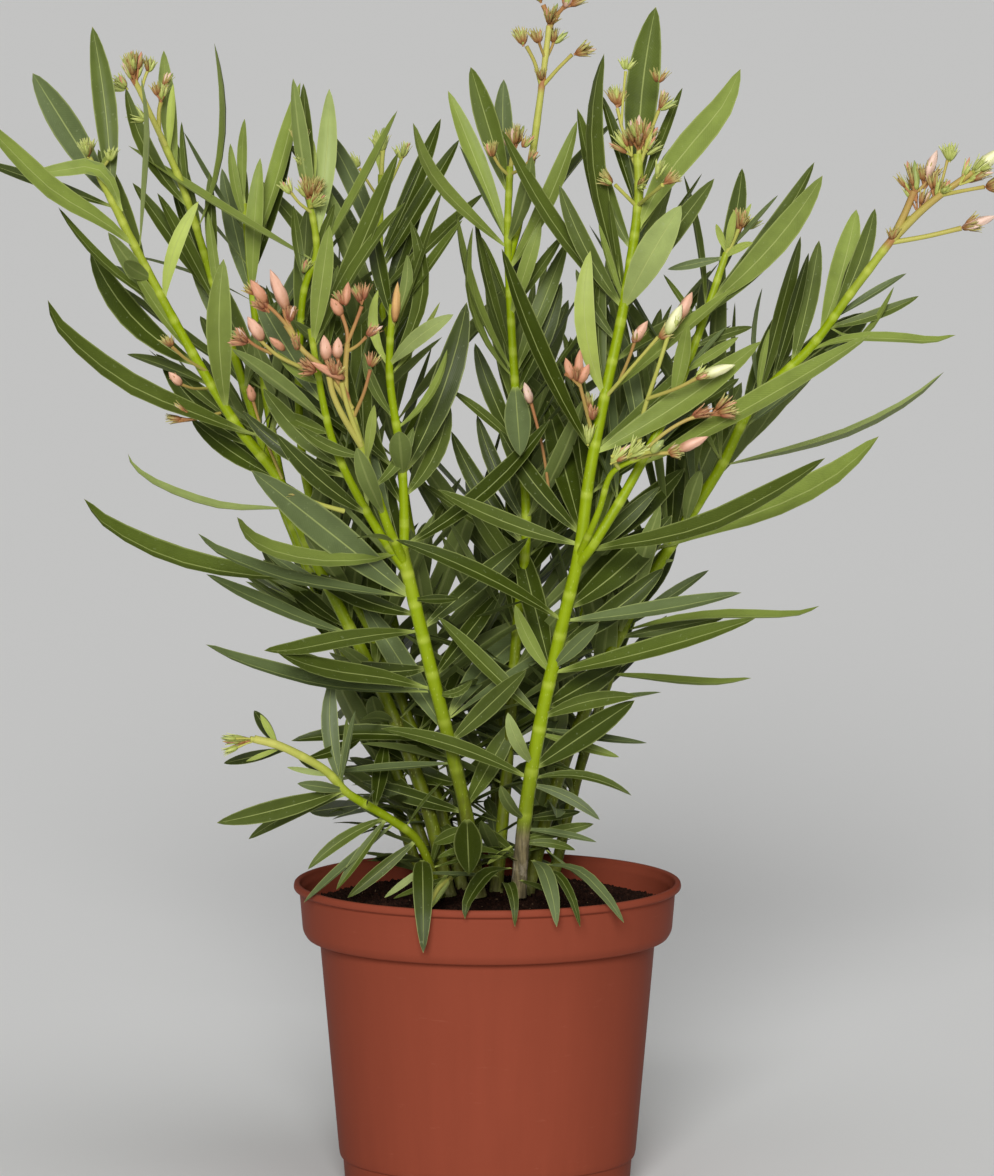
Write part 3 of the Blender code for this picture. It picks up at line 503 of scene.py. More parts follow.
STALKS = [Stalk(foot, tip, blush, route) for foot, tip, blush, *route in table("""
# bloom of the front left
1.6 1.2 0.6 -6.9,39.2,-6.9 -6.9,40.4,-7.1 -6.8,41.6,-7.2
1.1 0.8 1 -7,39.4,-7 -7.6,40.2,-7.3 -7.9,40.9,-7.4
1 0.8 1 -6.9,40,-7 -7.2,40.6,-7.4 -7.3,40.9,-7.5
1.2 0.8 0.9 -6.9,40.4,-7.1 -6.8,42,-7.2 -7.1,43.1,-7.2
1 0.8 1 -6.8,41.6,-7.2 -6.4,42.6,-7.3 -6.1,43.4,-7.4
0.9 0.7 0.8 -6.8,41.2,-7.2 -6.3,41.5,-7.5 -5.9,41.9,-7.7
1 0.7 0.9 -6.5,38,-6.6 -6,39.2,-7.2 -5.7,40.3,-7.6
1.6 1.1 0.6 -6.6,38.4,-6.7 -7.8,40.2,-7 -9,41.3,-7.1 -9.8,42.5,-7.1
1.2 0.9 0.9 -9.4,42,-7.1 -9.8,42.9,-7.1 -9.9,43.5,-7.1
1.1 0.8 0.9 -9.5,42.2,-7.1 -10.3,43.1,-7.3 -10.9,43.6,-7.4
1.1 0.8 0.5 -9,40.4,-7 -10.2,41,-7.6 -11.2,41.9,-7.9
0.9 0.7 1 -10.5,41.1,-7.6 -11.3,41.5,-7.9 -11.9,42,-8.1
# front left upright
1.6 1.2 0.1 -4.65,42.4,-4.4 -4.5,43,-4.6 -4.45,43.4,-4.8
# left, and what stands behind it
1.6 1.3 0.2 -18.8,49.8,-0.9 -19.3,50.6,-1
0.8 0.6 0.2 -18.8,49.9,-0.9 -18.5,50.3,-1.2 -18.3,50.6,-1.4
0.9 0.7 0.6 -13.6,40.2,-0.3 -14.6,40.8,-1.4 -15.3,41.4,-2
0.8 0.6 0.6 -13.6,39.4,-0.3 -14.3,39.4,-1.6 -14.9,39.6,-2.2
0.8 0.6 0.8 -13,38.2,-0.2 -14.2,37.9,-1.6 -15,37.8,-2.2
0.8 0.6 0.7 -10,35,-0.2 -10.9,37.2,-1.4 -11.4,38.8,-2
1.6 1.3 0.3 -15.6,51.2,3.5 -16.3,52.7,3.2 -16.8,53.8,3 -17.1,54.4,2.9
1.2 0.9 0.4 -15.9,51.8,3.5 -15.9,52.8,3.4 -15.8,53.3,3.3
0.9 0.7 0.3 -16.8,53.6,3 -16.6,54.4,3.3 -16.4,54.9,3.4
1.3 1 0.4 -8.5,48.2,1.4 -8.7,49.8,1.6 -8.9,51,1.7
0.9 0.7 0.3 -8.45,47.9,1.4 -9.1,48.4,1 -9.5,48.9,0.8
1.3 1 0.1 -5.15,49.4,5.8 -5.1,50.4,5.8 -5.05,51,5.8
0.8 0.6 0.1 -5.1,48.6,5.8 -4.5,49.8,5.6 -4.15,50.6,5.5
0.8 0.6 0.4 -5.1,48.4,5.8 -5.7,49.3,5.6 -6.2,50.1,5.5
# centre
1.3 1 0.5 1.1,49.9,1 1.2,50.6,1 1.3,51.2,1
0.9 0.7 0.5 1.1,49.7,1 0.6,50.2,0.7 0.2,50.9,0.5
0.9 0.7 0.6 1.1,49.8,1 1.7,50.1,0.6 2,50.4,0.4
1.1 0.8 0.4 2.6,54.1,2.3 2.3,55.2,2 1.9,56,1.8
1.1 0.8 0.4 2.7,54.1,2.3 3.4,54.9,2 4.1,55.6,1.8
1.3 1 0.8 2.65,54.2,2.3 2.9,56,2.3 3,57.2,2.3 2.7,58,2.3
1.1 0.9 0.8 3,56.8,2.3 3.3,57.4,2.1 3.7,57.9,1.9
0.8 0.6 0.7 2.8,55.4,2.3 2.6,55.9,2 2.5,56.2,1.8
0.8 0.6 0.7 2.85,55.4,2.3 3.1,55.9,2.6 3.2,56.2,2.8
# dead stalk between the middle stems
0.8 0.7 1 3.1,33.6,-1 2.7,36.4,-1.4 2,39.2,-1.8
# front right top
1.5 1.2 0.2 7.3,50.4,-3.2 7.35,50.9,-3.2 7.35,51.3,-3.2
1.1 0.8 0.2 7.2,48.3,-3.4 6.7,48.8,-3.9 6.2,49.3,-4.2
1.1 0.8 0.2 7.3,48.3,-3.4 7.9,48.8,-5.2 8.5,49.3,-6.4
1 0.7 0.3 7.2,50.2,-3.2 6.6,51.8,-2.4 6.3,53,-2
1 0.7 0.3 7.4,50.2,-3.2 7.9,51.8,-3.6 8.3,52.9,-3.8
0.7 0.6 0.2 6.5,52.2,-2.2 6.6,53.8,-2 6.7,54.8,-1.9
# front right outer
1.5 1.1 0 11.5,45.7,-3 11.9,46.5,-3.1 12.2,47.2,-3.2
# front right bloom
1.1 0.8 0.2 6.4,35.5,-6.8 6.2,35.8,-7.2 6.1,36.1,-7.5
1.1 0.8 0.2 7,35.9,-7 7.6,36.2,-7.6 8,36.3,-8
1 0.8 0.5 7.3,36,-7.1 8.2,36.2,-7.6 8.9,36.25,-7.8
1 0.8 0.6 7.4,36.1,-7.1 8.6,37.2,-7.2 9.8,37.9,-7.2 10.8,38.1,-7.2
1.7 1.3 0.45 -6.15,36.6,-6.2 -7,38,-6.9 -7.5,39.1,-7.2 -7.7,40,-7.3
1.5 1.1 0.35 -6.2,36.8,-6.3 -6.8,38.5,-6.9 -7.1,39.7,-7.2
1.3 0.9 0 -7,33.4,-5.6 -8.2,33.75,-6.2 -9.2,34.2,-6.6
1.2 0.9 0.1 7.35,36.4,-4.6 7.6,38.2,-4.6 8.3,40.4,-5.6 8.8,42,-6 9,42.4,-6
1 0.8 0.5 7.8,38.9,-5 9.2,39.4,-6.2 10.3,39.95,-6.8
1 0.7 0.3 5.7,38.9,-4.2 7,40.4,-5.4 8.3,41.9,-6
0.9 0.7 0.8 6.4,39.7,-4.8 6.9,40.9,-5.4 7.2,41.8,-5.8
1.1 0.8 0.7 5.1,37.2,-4.4 4.7,38.8,-5.4 4.4,40,-5.8
0.8 0.7 0.9 4.5,39.5,-5.7 4.1,39.9,-6 3.8,40.1,-6.2
# right tip
2 1.6 0.7 19.6,46.6,1 20.2,47.8,0.9 20.7,49,0.8
2.2 1.4 0.6 19.7,46.7,1 21,48,0.7 22.1,48.9,0.5 23.5,49.9,0.4
1.1 0.8 0.5 22,48.8,0.5 23,49,0 24.1,49.2,-0.3
1.3 1.1 0.4 19.6,46.5,1 21.3,46.8,0.9 23,47.2,0.8
0.8 0.6 0.5 21.9,48.9,0.5 22.1,49.7,0.7 22.3,50.5,0.8
1 0.8 0.7 20.6,48.8,0.8 21.1,49.2,1 21.3,49.5,1.1
# low shoot
1.7 1.2 0.1 -10.8,22.05,-6 -11.2,22.15,-6.2 -11.6,22.2,-6.3
1.2 1 0 -2.9,13.9,-8 -2.4,14.8,-6.6 -1.8,15.3,-4.6
""")]
BUDS = [Bud(*row) for row in table("""
-7.8,40.8,-7.4 -7.95,42,-7.5 2.9 pink
-7.3,40.9,-7.5 -7.25,41.9,-7.6 2.6 pink
-7.1,43,-7.2 -7.6,43.8,-7.3 2.6 salmon
-6.9,43.5,-7.2 -6.75,44.6,-7.2 2.1 salmon
-9.75,43.3,-7.1 -10.55,45.2,-7.2 3.1 pink
-10.8,43.6,-7.4 -11.5,44.7,-7.5 2.8 salmon
-10.95,41.8,-7.9 -11.65,42.9,-8 3 pink
-7,39.9,-7.4 -8.6,40.7,-7.9 2.2 salmon
-4.5,42.7,-4.8 -4.35,44.6,-5 2.2 amber
-14.9,39.6,-2.2 -15.5,40.2,-2.4 2.2 pink
-11.4,38.8,-2 -11.6,39.6,-2.2 2.2 salmon
-9.9,41.3,-7.2 -10.6,41.9,-7.7 2 salmon
7.35,51.4,-3.3 7.35,52.7,-3.3 2.4 blush
1,51.2,0.9 0.9,51.9,0.8 1.8 blush
9.3,36.4,-7.8 10.75,37.05,-8 2.6 pink
10.4,40,-6.8 12.05,40.55,-6.9 2.7 cream
9.3,42.8,-5.6 9.95,44.1,-5.6 2.8 pink
8.75,42.1,-6.1 9.45,43.5,-6.1 3 cream
7.1,41.7,-5.8 7.8,42.7,-5.9 2.4 pink
4.4,39.9,-5.8 4.5,41.3,-5.9 2.3 salmon
4.1,39.9,-6 3.8,40.9,-6.1 2.2 salmon
4.5,39.7,-5.7 4.95,40.6,-5.9 2.4 salmon
21.2,49.5,1.1 21.8,51,1.1 2.6 blush
20.8,49.1,0.8 20.7,50.5,0.8 2 green
23.6,50,0.4 25.1,51.1,0.3 3.3 cream
23.1,47.2,0.8 24.7,47.8,0.8 2.5 blush
-5.05,51,5.8 -5,52.1,5.8 2.2 green
2.1,38.7,-1.8 1.8,39.7,-1.9 2.2 blush
-1.9,15.2,-5 -2.8,13.8,-8.4 1.8 green
3.75,57.9,1.9 4.2,58.8,1.8 1.9 blush
8,36.3,-8 8.6,36.9,-8.2 2.2 green
""")]
HEADS = [Head(*row) for row in table("""
-6.1,43.5,-7.4 -0.1 1 0 9 0.8 rust
-6.95,43.4,-7.2 0 1 0 5 0.7 rust
-5.9,41.9,-7.7 0.8 0.6 0 4 0.5 rust
-5.7,40.4,-7.6 0.2 1 0 3 0.4 rust
-8.3,40.2,-7.6 -0.8 0.6 -0.3 8 0.8 rust
-7.4,40,-7.6 0 0.8 -0.4 7 0.7 rust
-9.6,42.6,-7.2 -0.1 1 0 7 0.7 rust
-10.6,43.1,-7.4 -0.7 0.7 0 8 0.8 rust
-11.6,41.6,-8 -0.9 0.5 0 9 0.7 rust
-9.2,41.2,-7.2 -0.3 0.9 -0.3 5 0.6 rust
-11.2,43.9,-7.4 -0.7 0.8 0.2 4 0.6 rust
-19.35,50.6,-1 -0.1 1 -0.1 16 0.8 green
-18.3,50.4,-1.4 0.3 1 0 4 0.6 green
-15.3,41.4,-2 -0.6 0.7 0 4 0.5 brown
-14.3,37.9,-2.2 -0.95 0.1 0 6 1.2 brown
-17.05,54.1,2.9 -0.15 1 -0.1 20 1.5 brown
-17.4,53.9,2.9 -0.7 0.6 0 8 0.8 green
-15.8,53.3,3.3 0.1 1 0 8 0.9 brown
-16.4,54.7,3.4 0.1 1 0 6 0.7 green
-16.5,52.4,3.2 -0.9 0.3 0 4 0.8 green
-15.7,54,3.4 0.5 0.9 0 4 0.6 green
-8.6,48.5,1.4 0 1 -0.3 20 1.2 brown
-8.6,48.2,1.2 0.7 0.4 -0.4 8 0.9 green
-9.5,48.8,0.8 -0.6 0.8 0 6 0.6 green
-8.95,51,1.7 0 1 0 14 1 brown
-8.8,50,1.6 -0.3 1 -0.4 6 0.8 green
-5.1,50.8,5.8 0 1 0 8 0.9 green
-4.15,50.5,5.5 0.2 1 0 6 0.7 green
-6.2,50.1,5.5 -0.5 0.9 0 4 0.6 green
-8.95,45,1.6 0.5 0.7 -0.5 5 0.7 green
1.3,50.9,1 0 1 -0.2 12 1.2 brown
0.25,50.6,0.5 -0.3 1 0 5 0.7 brown
2,50.3,0.4 0.5 0.9 0 6 0.6 brown
1.7,51,0.8 0.6 0.8 0 4 0.7 green
1.75,56,1.8 -0.4 0.9 0 11 0.8 brown
4.2,55.6,1.8 0.9 0.5 0 10 0.8 brown
2.6,58.1,2.3 -0.4 0.9 0 14 1.1 brown
3.7,57.8,1.9 0.5 0.8 0 14 1.1 brown
3,57,2.3 0.1 1 -0.5 7 0.9 brown
2.5,56.1,1.8 -0.1 1 0 6 0.6 brown
3.2,56.1,2.8 0.3 1 0 5 0.6 brown
2.65,54.3,2.2 0 1 -0.5 4 0.4 brown
7.35,50.9,-3.2 0 1 -0.3 16 1.5 brown
7,50.7,-3.3 -0.45 0.9 0 7 1.3 green
7.6,50.7,-3.3 0.45 0.9 0 7 1.2 green
6.1,49.3,-4.2 -0.6 0.6 0 7 0.6 brown
8.55,49.35,-6.4 0.8 0.5 0 7 0.7 brown
8.2,49.6,-6 0.3 0.9 0 5 0.8 green
6.3,53,-2 0 1 0 9 0.9 brown
8.3,52.9,-3.8 0.4 0.9 0 9 0.8 brown
6.7,54.8,-1.9 0 1 0 3 0.5 green
8.25,54.2,-1 0.1 1 0 3 0.5 brown
7.3,49.2,-3.6 0.3 0.6 -0.8 4 0.6 green
12.2,47,-3.2 0.1 1 -0.2 11 1 brown
12.4,47,-3 0.7 0.7 0 4 0.9 green
6,35.7,-7.4 0.7 0.5 0 7 1 green
6.8,36,-7.5 0.8 0.5 0 7 1.1 green
8.7,36.2,-7.8 0.9 0.3 0 8 0.6 brown
10.9,38.1,-7.2 1 0.3 0 11 1.1 rust
9.9,38,-7.1 0.9 0.4 -0.2 6 0.9 rust
-9.1,34.2,-6.6 -0.9 0.4 0 4 0.7 green
10.1,39.85,-6.8 0.9 0.4 0 6 0.5 brown
9,42.2,-6 0.3 0.9 0 7 0.6 brown
8.3,41.8,-6 0.6 0.8 0 6 0.6 brown
7.2,41.6,-5.8 0.5 0.9 0 5 0.5 brown
4.3,39.7,-5.8 0 1 -0.3 8 0.6 rust
5.1,37.8,-5 0.1 0.9 -0.4 4 0.5 rust
4.9,36.6,-4.7 -0.1 1 -0.1 4 0.9 green
5,38.2,-4.6 -0.1 1 -0.1 4 0.8 brown
20.8,48.5,0.8 -0.05 1 0 11 1.7 brown
20.9,47.9,0.9 0.1 1 0 5 1.4 brown
21.7,48.6,0.6 0.1 1 0 6 1.2 brown
22.9,49.3,0.3 0.8 0.5 0 7 1.3 green
21.2,49.1,1.1 0.3 1 0 10 1.3 brown
22.4,50.4,0.8 0.2 1 0 9 0.8 green
23.4,49.8,0.4 0.8 0.6 0 10 1 green
24.1,49.2,-0.3 0.9 0.2 0 10 0.7 brown
23,47.2,0.8 1 0.3 0 11 0.9 brown
22,48.9,0.5 0.6 0.8 -0.3 5 0.6 brown
19.65,46.6,0.9 0.3 1 -0.5 3 0.4 brown
-11.2,22.15,-6.2 -1 0.06 0 5 1.8 green
-11.2,22.1,-6.2 -1 0 0 3 1.3 brown
""")]


# ---- Node trees wired in expressions ----
def maths(operation, turned=False):
    """A method of Wire that adds one Math node; turned puts the wire itself last."""
    def method(wire, *others):
        return wire.math(operation, *((*others, wire) if turned else (wire, *others)))
    return method


class Wire:
    """A node's output, open to Python arithmetic: an expression adds its Math nodes."""

    def __init__(self, board, socket):
        self.board, self.socket = board, socket

    def __getitem__(self, key):
        """Another output of the same node."""
        return Wire(self.board, self.socket.node.outputs[key])

    def part(self, axis):
        return self.board.node("ShaderNodeSeparateXYZ", {}, {"Vector": self}, out=axis)

    def math(self, operation, *values):
        return self.board.node("ShaderNodeMath", {"operation": operation}, dict(enumerate(values)))

    __add__, __radd__ = maths("ADD"), maths("ADD", turned=True)
    __sub__, __rsub__ = maths("SUBTRACT"), maths("SUBTRACT", turned=True)
    __mul__, __rmul__ = maths("MULTIPLY"), maths("MULTIPLY", turned=True)
    __truediv__, __pow__ = maths("DIVIDE"), maths("POWER")
    __abs__, sine = maths("ABSOLUTE"), maths("SINE")

    def ramp(self, low, high):
        """0 below low, 1 above high, smooth between them; high below low turns it round."""
        return self.board.node(
            "ShaderNodeMapRange", {"interpolation_type": "SMOOTHSTEP"},
            {"Value": self, "From Min": low, "From Max": high, "To Min": 0.0, "To Max": 1.0})


class Board:
    """A node tree. One method adds any node: its type, its settings, its sockets' values or links."""

    def __init__(self, tree):
        self.tree = tree
        tree.nodes.clear()

    def node(self, kind, settings=None, sockets=None, out=0):
        made = self.tree.nodes.new(kind)
        for name, value in (settings or {}).items():
            setattr(made, name, value)
        for key, value in (sockets or {}).items():
            if isinstance(value, Wire):
                self.tree.links.new(value.socket, made.inputs[key])
            else:
                made.inputs[key].default_value = value
        return Wire(self, made.outputs[out]) if made.outputs else made

    def attribute(self, name, kind="FLOAT"):
        """A named attribute of the geometry, inside a geometry tree."""
        return self.node("GeometryNodeInputNamedAttribute", {"data_type": kind}, {"Name": name})

    def scaled(self, vector, factor):
        return self.node("ShaderNodeVectorMath", {"operation": "SCALE"}, {0: vector, "Scale": factor})

    def stretched(self, vector, factors):
        return self.node("ShaderNodeVectorMath", {"operation": "MULTIPLY"}, {0: vector, 1: factors})

    def compare(self, operation, value, limit):
        return self.node("FunctionNodeCompare", {"operation": operation}, {"A": value, "B": limit})

    def end_growth(self, geometry, finish):
        """Ends a geometry tree with real meshes in one finish."""
        real = self.node("GeometryNodeRealizeInstances", {}, {"Geometry": geometry})
        ended = self.node("GeometryNodeSetMaterial", {}, {"Geometry": real, "Material": finish})
        self.node("NodeGroupOutput", {}, {"Geometry": ended})
        return self


class Finish(Board):
    """The board of a new material, with the place on the piece to start from."""

    def __init__(self, name):
        self.material = bpy.data.materials.new(name)
        self.material.use_nodes = True
        super().__init__(self.material.node_tree)
        self.spot = self.node("ShaderNodeTexCoord", out="Object")

    def noise(self, scale, detail=3.0, roughness=0.55, stretch=None):
        return self.node("ShaderNodeTexNoise", {}, {
            "Vector": self.stretched(self.spot, stretch) if stretch else self.spot,
            "Scale": scale, "Detail": detail, "Roughness": roughness})

    def on_surface(self, name):
        """Place across (X) and along (Y) the piece, from its own UV map."""
        return self.node("ShaderNodeUVMap", {"uv_map": name}, out="UV")

    def mark(self, name):
        """A value that the mesh carries at each point."""
        return self.node("ShaderNodeAttribute", {"attribute_name": name}, out="Fac")

    def mix(self, share, first, second):
        first, second = (c if isinstance(c, Wire) else (*c, 1.0) for c in (first, second))
        return self.node("ShaderNodeMix", {"data_type": "RGBA"}, {0: share, 6: first, 7: second}, out=2)

    def coats(self, shade, *coats):
        """Lays each (share, colour) over what is below it."""
        for share, colour in coats:
            shade = self.mix(share, shade, colour)
        return shade

    def end(self, colour, roughness, height=None, distance=0.0, strength=0.0, specular=0.5):
        """Ends the tree: base colour, roughness and, from a height, a bump."""
        sockets = {"Base Color": colour, "Roughness": roughness, "Specular IOR Level": specular}
        if height is not None:
            sockets["Normal"] = self.node("ShaderNodeBump", {}, {
                "Height": height, "Distance": distance, "Strength": strength})
        shader = self.node("ShaderNodeBsdfPrincipled", {}, sockets)
        self.node("ShaderNodeOutputMaterial", {}, {"Surface": shader})
        return self.material


def paint(red, green, blue):
    """A linear colour from the 0 to 255 values that a paint chart gives."""
    return tuple((c / 255 / 12.92) if c <= 10 else ((c / 255 + 0.055) / 1.055) ** 2.4
                 for c in (red, green, blue))


def shaded(colour, share):
    return tuple(min(1.0, c * share) for c in colour)


# ---- Meshes ----
def add_object(name, mesh):
    piece = bpy.data.objects.new(name, mesh)
    bpy.context.scene.collection.objects.link(piece)
    return piece


def mesh_of(name, vertices, faces, edges=()):
    mesh = bpy.data.meshes.new(name)
    mesh.from_pydata([tuple(v) for v in vertices], list(edges), list(faces))
    mesh.update()
    return mesh


def circle(radius, height, sides):
    """Points round the upright axis."""
    return [(radius * math.cos(2 * math.pi * s / sides), radius * math.sin(2 * math.pi * s / sides), height)
            for s in range(sides)]


def collar(start, sides, turned=False):
    """Faces between the ring of vertices at start and the ring after it."""
    faces = [(start + s, start + (s + 1) % sides, start + sides + (s + 1) % sides, start + sides + s)
             for s in range(sides)]
    return [(a, d, c, b) for a, b, c, d in faces] if turned else faces


def put_attribute(mesh, name, kind, values):
    field = {"FLOAT_VECTOR": "vector"}.get(kind, "value")
    layer = mesh.attributes.new(name, kind, "POINT")
    flat = np.array(values, dtype=np.int32 if kind == "INT" else np.float32).ravel()
    layer.data.foreach_set(field, flat)


def smooth_shade(mesh, angle):
    """Smooth faces, with an edge left sharp where its faces turn more than the angle."""
    mesh.polygons.foreach_set("use_smooth", [True] * len(mesh.polygons))
    mesh.set_sharp_from_angle(angle=angle)


def geometry_tree(name, **inputs):
    """A Geometry Nodes tree with inputs of the given names and kinds; returns its board and input node."""
    tree = bpy.data.node_groups.new(name, "GeometryNodeTree")
    for label, kind in {"Geometry": "Geometry", **inputs}.items():
        tree.interface.new_socket(label, in_out="INPUT", socket_type=f"NodeSocket{kind}")
    tree.interface.new_socket("Geometry", in_out="OUTPUT", socket_type="NodeSocketGeometry")
    board = Board(tree)
    return board, board.node("NodeGroupInput")


def grow(name, seed_mesh, board, values):
    """Runs a tree on a mesh and keeps what it gives as a plain mesh."""
    carrier = add_object(name, seed_mesh)
    modifier = carrier.modifiers.new("Growth", "NODES")
    modifier.node_group = board.tree
    for item in board.tree.interface.items_tree:
        if item.name in values:
            modifier[item.identifier] = values[item.name]
    bpy.context.view_layer.update()
    evaluated = carrier.evaluated_get(bpy.context.evaluated_depsgraph_get())
    grown = bpy.data.meshes.new_from_object(evaluated)
    carrier.modifiers.remove(modifier)
    carrier.data = grown
    grown.name = name
    return carrier


def hand_over(piece, slot, *nodes):
    """Rides the piece on the plant's body and hides the solids that it stands for; its slot is not used."""
    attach(piece, BODY)
    if nodes:
        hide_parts(*nodes)


# ---- Routes ----
def clamp(value):
    return min(1.0, max(0.0, value))


def smooth_route(points, step):
    """Catmull-Rom curve through the points, sampled about every step."""
    ends = [points[0] * 2 - points[1]] + list(points) + [points[-1] * 2 - points[-2]]
    samples = [points[0]]
    for before, start, end, after in zip(ends, ends[1:], ends[2:], ends[3:]):
        pieces = max(1, round((end - start).length / step))
        for k in range(1, pieces + 1):
            t = k / pieces
            samples.append(0.5 * (2 * start + (end - before) * t
                                  + (2 * before - 5 * start + 4 * end - after) * t ** 2
                                  + (3 * start - before - 3 * end + after) * t ** 3))
    return samples


def directions(points):
    last = len(points) - 1
    return [(points[min(k + 1, last)] - points[max(k - 1, 0)]).normalized() for k in range(last + 1)]


class Route:
    """A finely sampled route that is asked for its place at a length or at a height of the sheet."""

    def __init__(self, points, step=2.5 * MM):
        self.points = smooth_route(points, step)
        self.lengths = [0.0]
        for a, b in zip(self.points, self.points[1:]):
            self.lengths.append(self.lengths[-1] + (b - a).length)
        self.length = self.lengths[-1]
        self.sheet = np.array([on_sheet(p) for p in self.points])
        self.depth = np.array([p.y for p in self.points])

    def at(self, length):
        """Point and direction at a length along the route."""
        last = len(self.points) - 1
        k = min(max(int(np.searchsorted(self.lengths, length)), 1), last)
        span = self.lengths[k] - self.lengths[k - 1]
        t = clamp((length - self.lengths[k - 1]) / max(span, 1e-9))
        near, far = self.points[max(k - 2, 0)], self.points[min(k + 1, last)]
        return self.points[k - 1].lerp(self.points[k], t), (far - near).normalized()

    def spread(self, shares):
        """Points at shares of the whole length."""
        return [self.at(self.length * share)[0] for share in shares]

    def length_at_height(self, up):
        """Length along the route at which it first reaches a height on the sheet, in cm."""
        above = np.nonzero(self.sheet[:, 1] >= up)[0]
        return self.lengths[int(above[0])] if len(above) else self.length


ROUTES = {name: Route([place(*p) for p in shoot.route]) for name, shoot in SHOOTS.items()}


def rises_from_compost(name):
    return SHOOTS[name].parent is None and name != "shoot_low_left"


def whorl_marks(name):
    """Lengths along a shoot at which its leaves stand in whorls: closer towards the tip."""
    shoot, route = SHOOTS[name], ROUTES[name]
    rng = random.Random(name)
    mark = 1.3 * CM + rng.random() * 0.6 * CM if rises_from_compost(name) else 1.6 * CM
    marks = []
    while mark < route.length - 0.2 * CM:
        marks.append(mark)
        left = (route.length - mark) / route.length
        gap = 0.95 + (0.9 if shoot.part in ("back", "centre") else 1.4) * min(1.0, left * 2.2)
        mark += gap * CM * rng.uniform(0.88, 1.12)
    return marks


# ---- Settings ----
def metres(name, default, description):
    return FloatProperty(name=name, description=description, default=default, min=0.0, unit="LENGTH", precision=5)


def hue(name, default, description):
    return FloatVectorProperty(name=name, description=description, default=default, size=3, min=0.0, max=1.0,
                               subtype="COLOR")


class PotSettings(bpy.types.PropertyGroup):
    """Sizes and colour of the container"""
    height: metres("Height", 0.152, "Floor to the top of the lip")
    lip_radius: metres("Lip Radius", 0.095, "Outer radius of the rolled lip")
    band_top_radius: metres("Band Top Radius", 0.092, "Radius of the rim band under the lip")
    band_foot_radius: metres("Band Foot Radius", 0.0905, "Radius of the rim band at its lower edge")
    band_foot_height: metres("Band Foot Height", 0.1280, "Height at which the band starts to turn in")
    shoulder_height: metres("Shoulder Height", 0.1245, "Height of the rim band's underside")
    body_top_radius: metres("Body Top Radius", 0.0822, "Radius of the body under the band")
    body_foot_radius: metres("Body Foot Radius", 0.073, "Radius of the body at the step")
    step_height: metres("Step Height", 0.0162, "Height of the step above the foot ring")
    foot_radius: metres("Foot Radius", 0.06975, "Radius of the foot ring on the floor")
    notch_width: metres("Drain Width", 0.041, "Width of one drainage arch in the foot ring")
    notch_height: metres("Drain Height", 0.0085, "Height of one drainage arch")
    wall: metres("Wall", 0.0018, "Thickness of the plastic")
    segments: IntProperty(name="Segments", description="Flats round the pot", default=160, min=24)
    colour: hue("Plastic", paint(134, 65, 47), "Terracotta-coloured plastic")


class CompostSettings(bpy.types.PropertyGroup):
    """The root ball's loose top"""
    edge_height: metres("Edge Height", 0.1385, "Height where the compost meets the wall")
    top_height: metres("Top Height", 0.1445, "Height in the middle")
    flat_radius: metres("Flat Radius", 0.052, "Radius of the flat middle")
    crumb_size: metres("Crumb Size", 0.0017, "Mean radius of a loose crumb")
    density: FloatProperty(name="Crumb Density", description="Crumbs on a square metre", default=210000.0)
    seed: IntProperty(name="Seed", description="Turns the scatter of crumbs", default=4)
    colour: hue("Peat", paint(38, 20, 12), "Moist peat")


class StemSettings(bpy.types.PropertyGroup):
    """Stems, boughs and flower stalks"""
    sides: IntProperty(name="Sides", description="Flats round a stem", default=12, min=5)
    swelling: metres("Node Swelling", 0.00016, "How far a stem swells where its leaves stand")
    relief: metres("Relief", 0.0011, "Depth of the relief on woody bark")
    green: hue("Green Bark", paint(145, 166, 4), "Bark of this year's growth")
    old_green: hue("Old Bark", paint(72, 72, 18), "Bark near the compost")
    wood: hue("Wood", paint(130, 118, 84), "Peeling woody bark")
    blush: hue("Blush", paint(172, 118, 76), "Red-brown of the flower stalks")
    pale: hue("Pale", paint(206, 198, 112), "Pale green-yellow of a flowering tip")


class LeafSettings(bpy.types.PropertyGroup):
    """Leaf blades and the rule that sets them in whorls"""
    longest: metres("Longest Leaf", 0.125, "Length of the longest blade")
    widest: metres("Widest Leaf", 0.0165, "Width of the widest blade")
    slenderness: FloatProperty(name="Slenderness", description="Length of a blade over its width", default=7.9)
    edge: metres("Petiole Radius", 0.0010, "Half the width of a blade's stalk")
    seed: IntProperty(name="Seed", description="Turns the whorls and bends the blades", default=11)
    # Painted light and shade among the tints: lit is painted light, deep is painted shade over old blades' darker
    # green, pale is a painted sheen.
    deep: hue("Deep", paint(58, 70, 12), "Shaded old blades")
    mid: hue("Mid", paint(84, 97, 34), "Most of the crown")
    lit: hue("Lit", paint(128, 143, 64), "Blades turned to the light")
    fresh: hue("Fresh", paint(166, 180, 86), "New growth")
    grey: hue("Grey", paint(99, 112, 68), "Blades with a grey bloom")
    pale: hue("Pale", paint(152, 166, 96), "Broad pale blades")
    dry: hue("Dry", paint(140, 132, 96), "A blade that dries")
    under: hue("Underside", paint(118, 132, 68), "Back of every blade")
    rib: hue("Midrib", paint(182, 192, 116), "Midrib and margin")


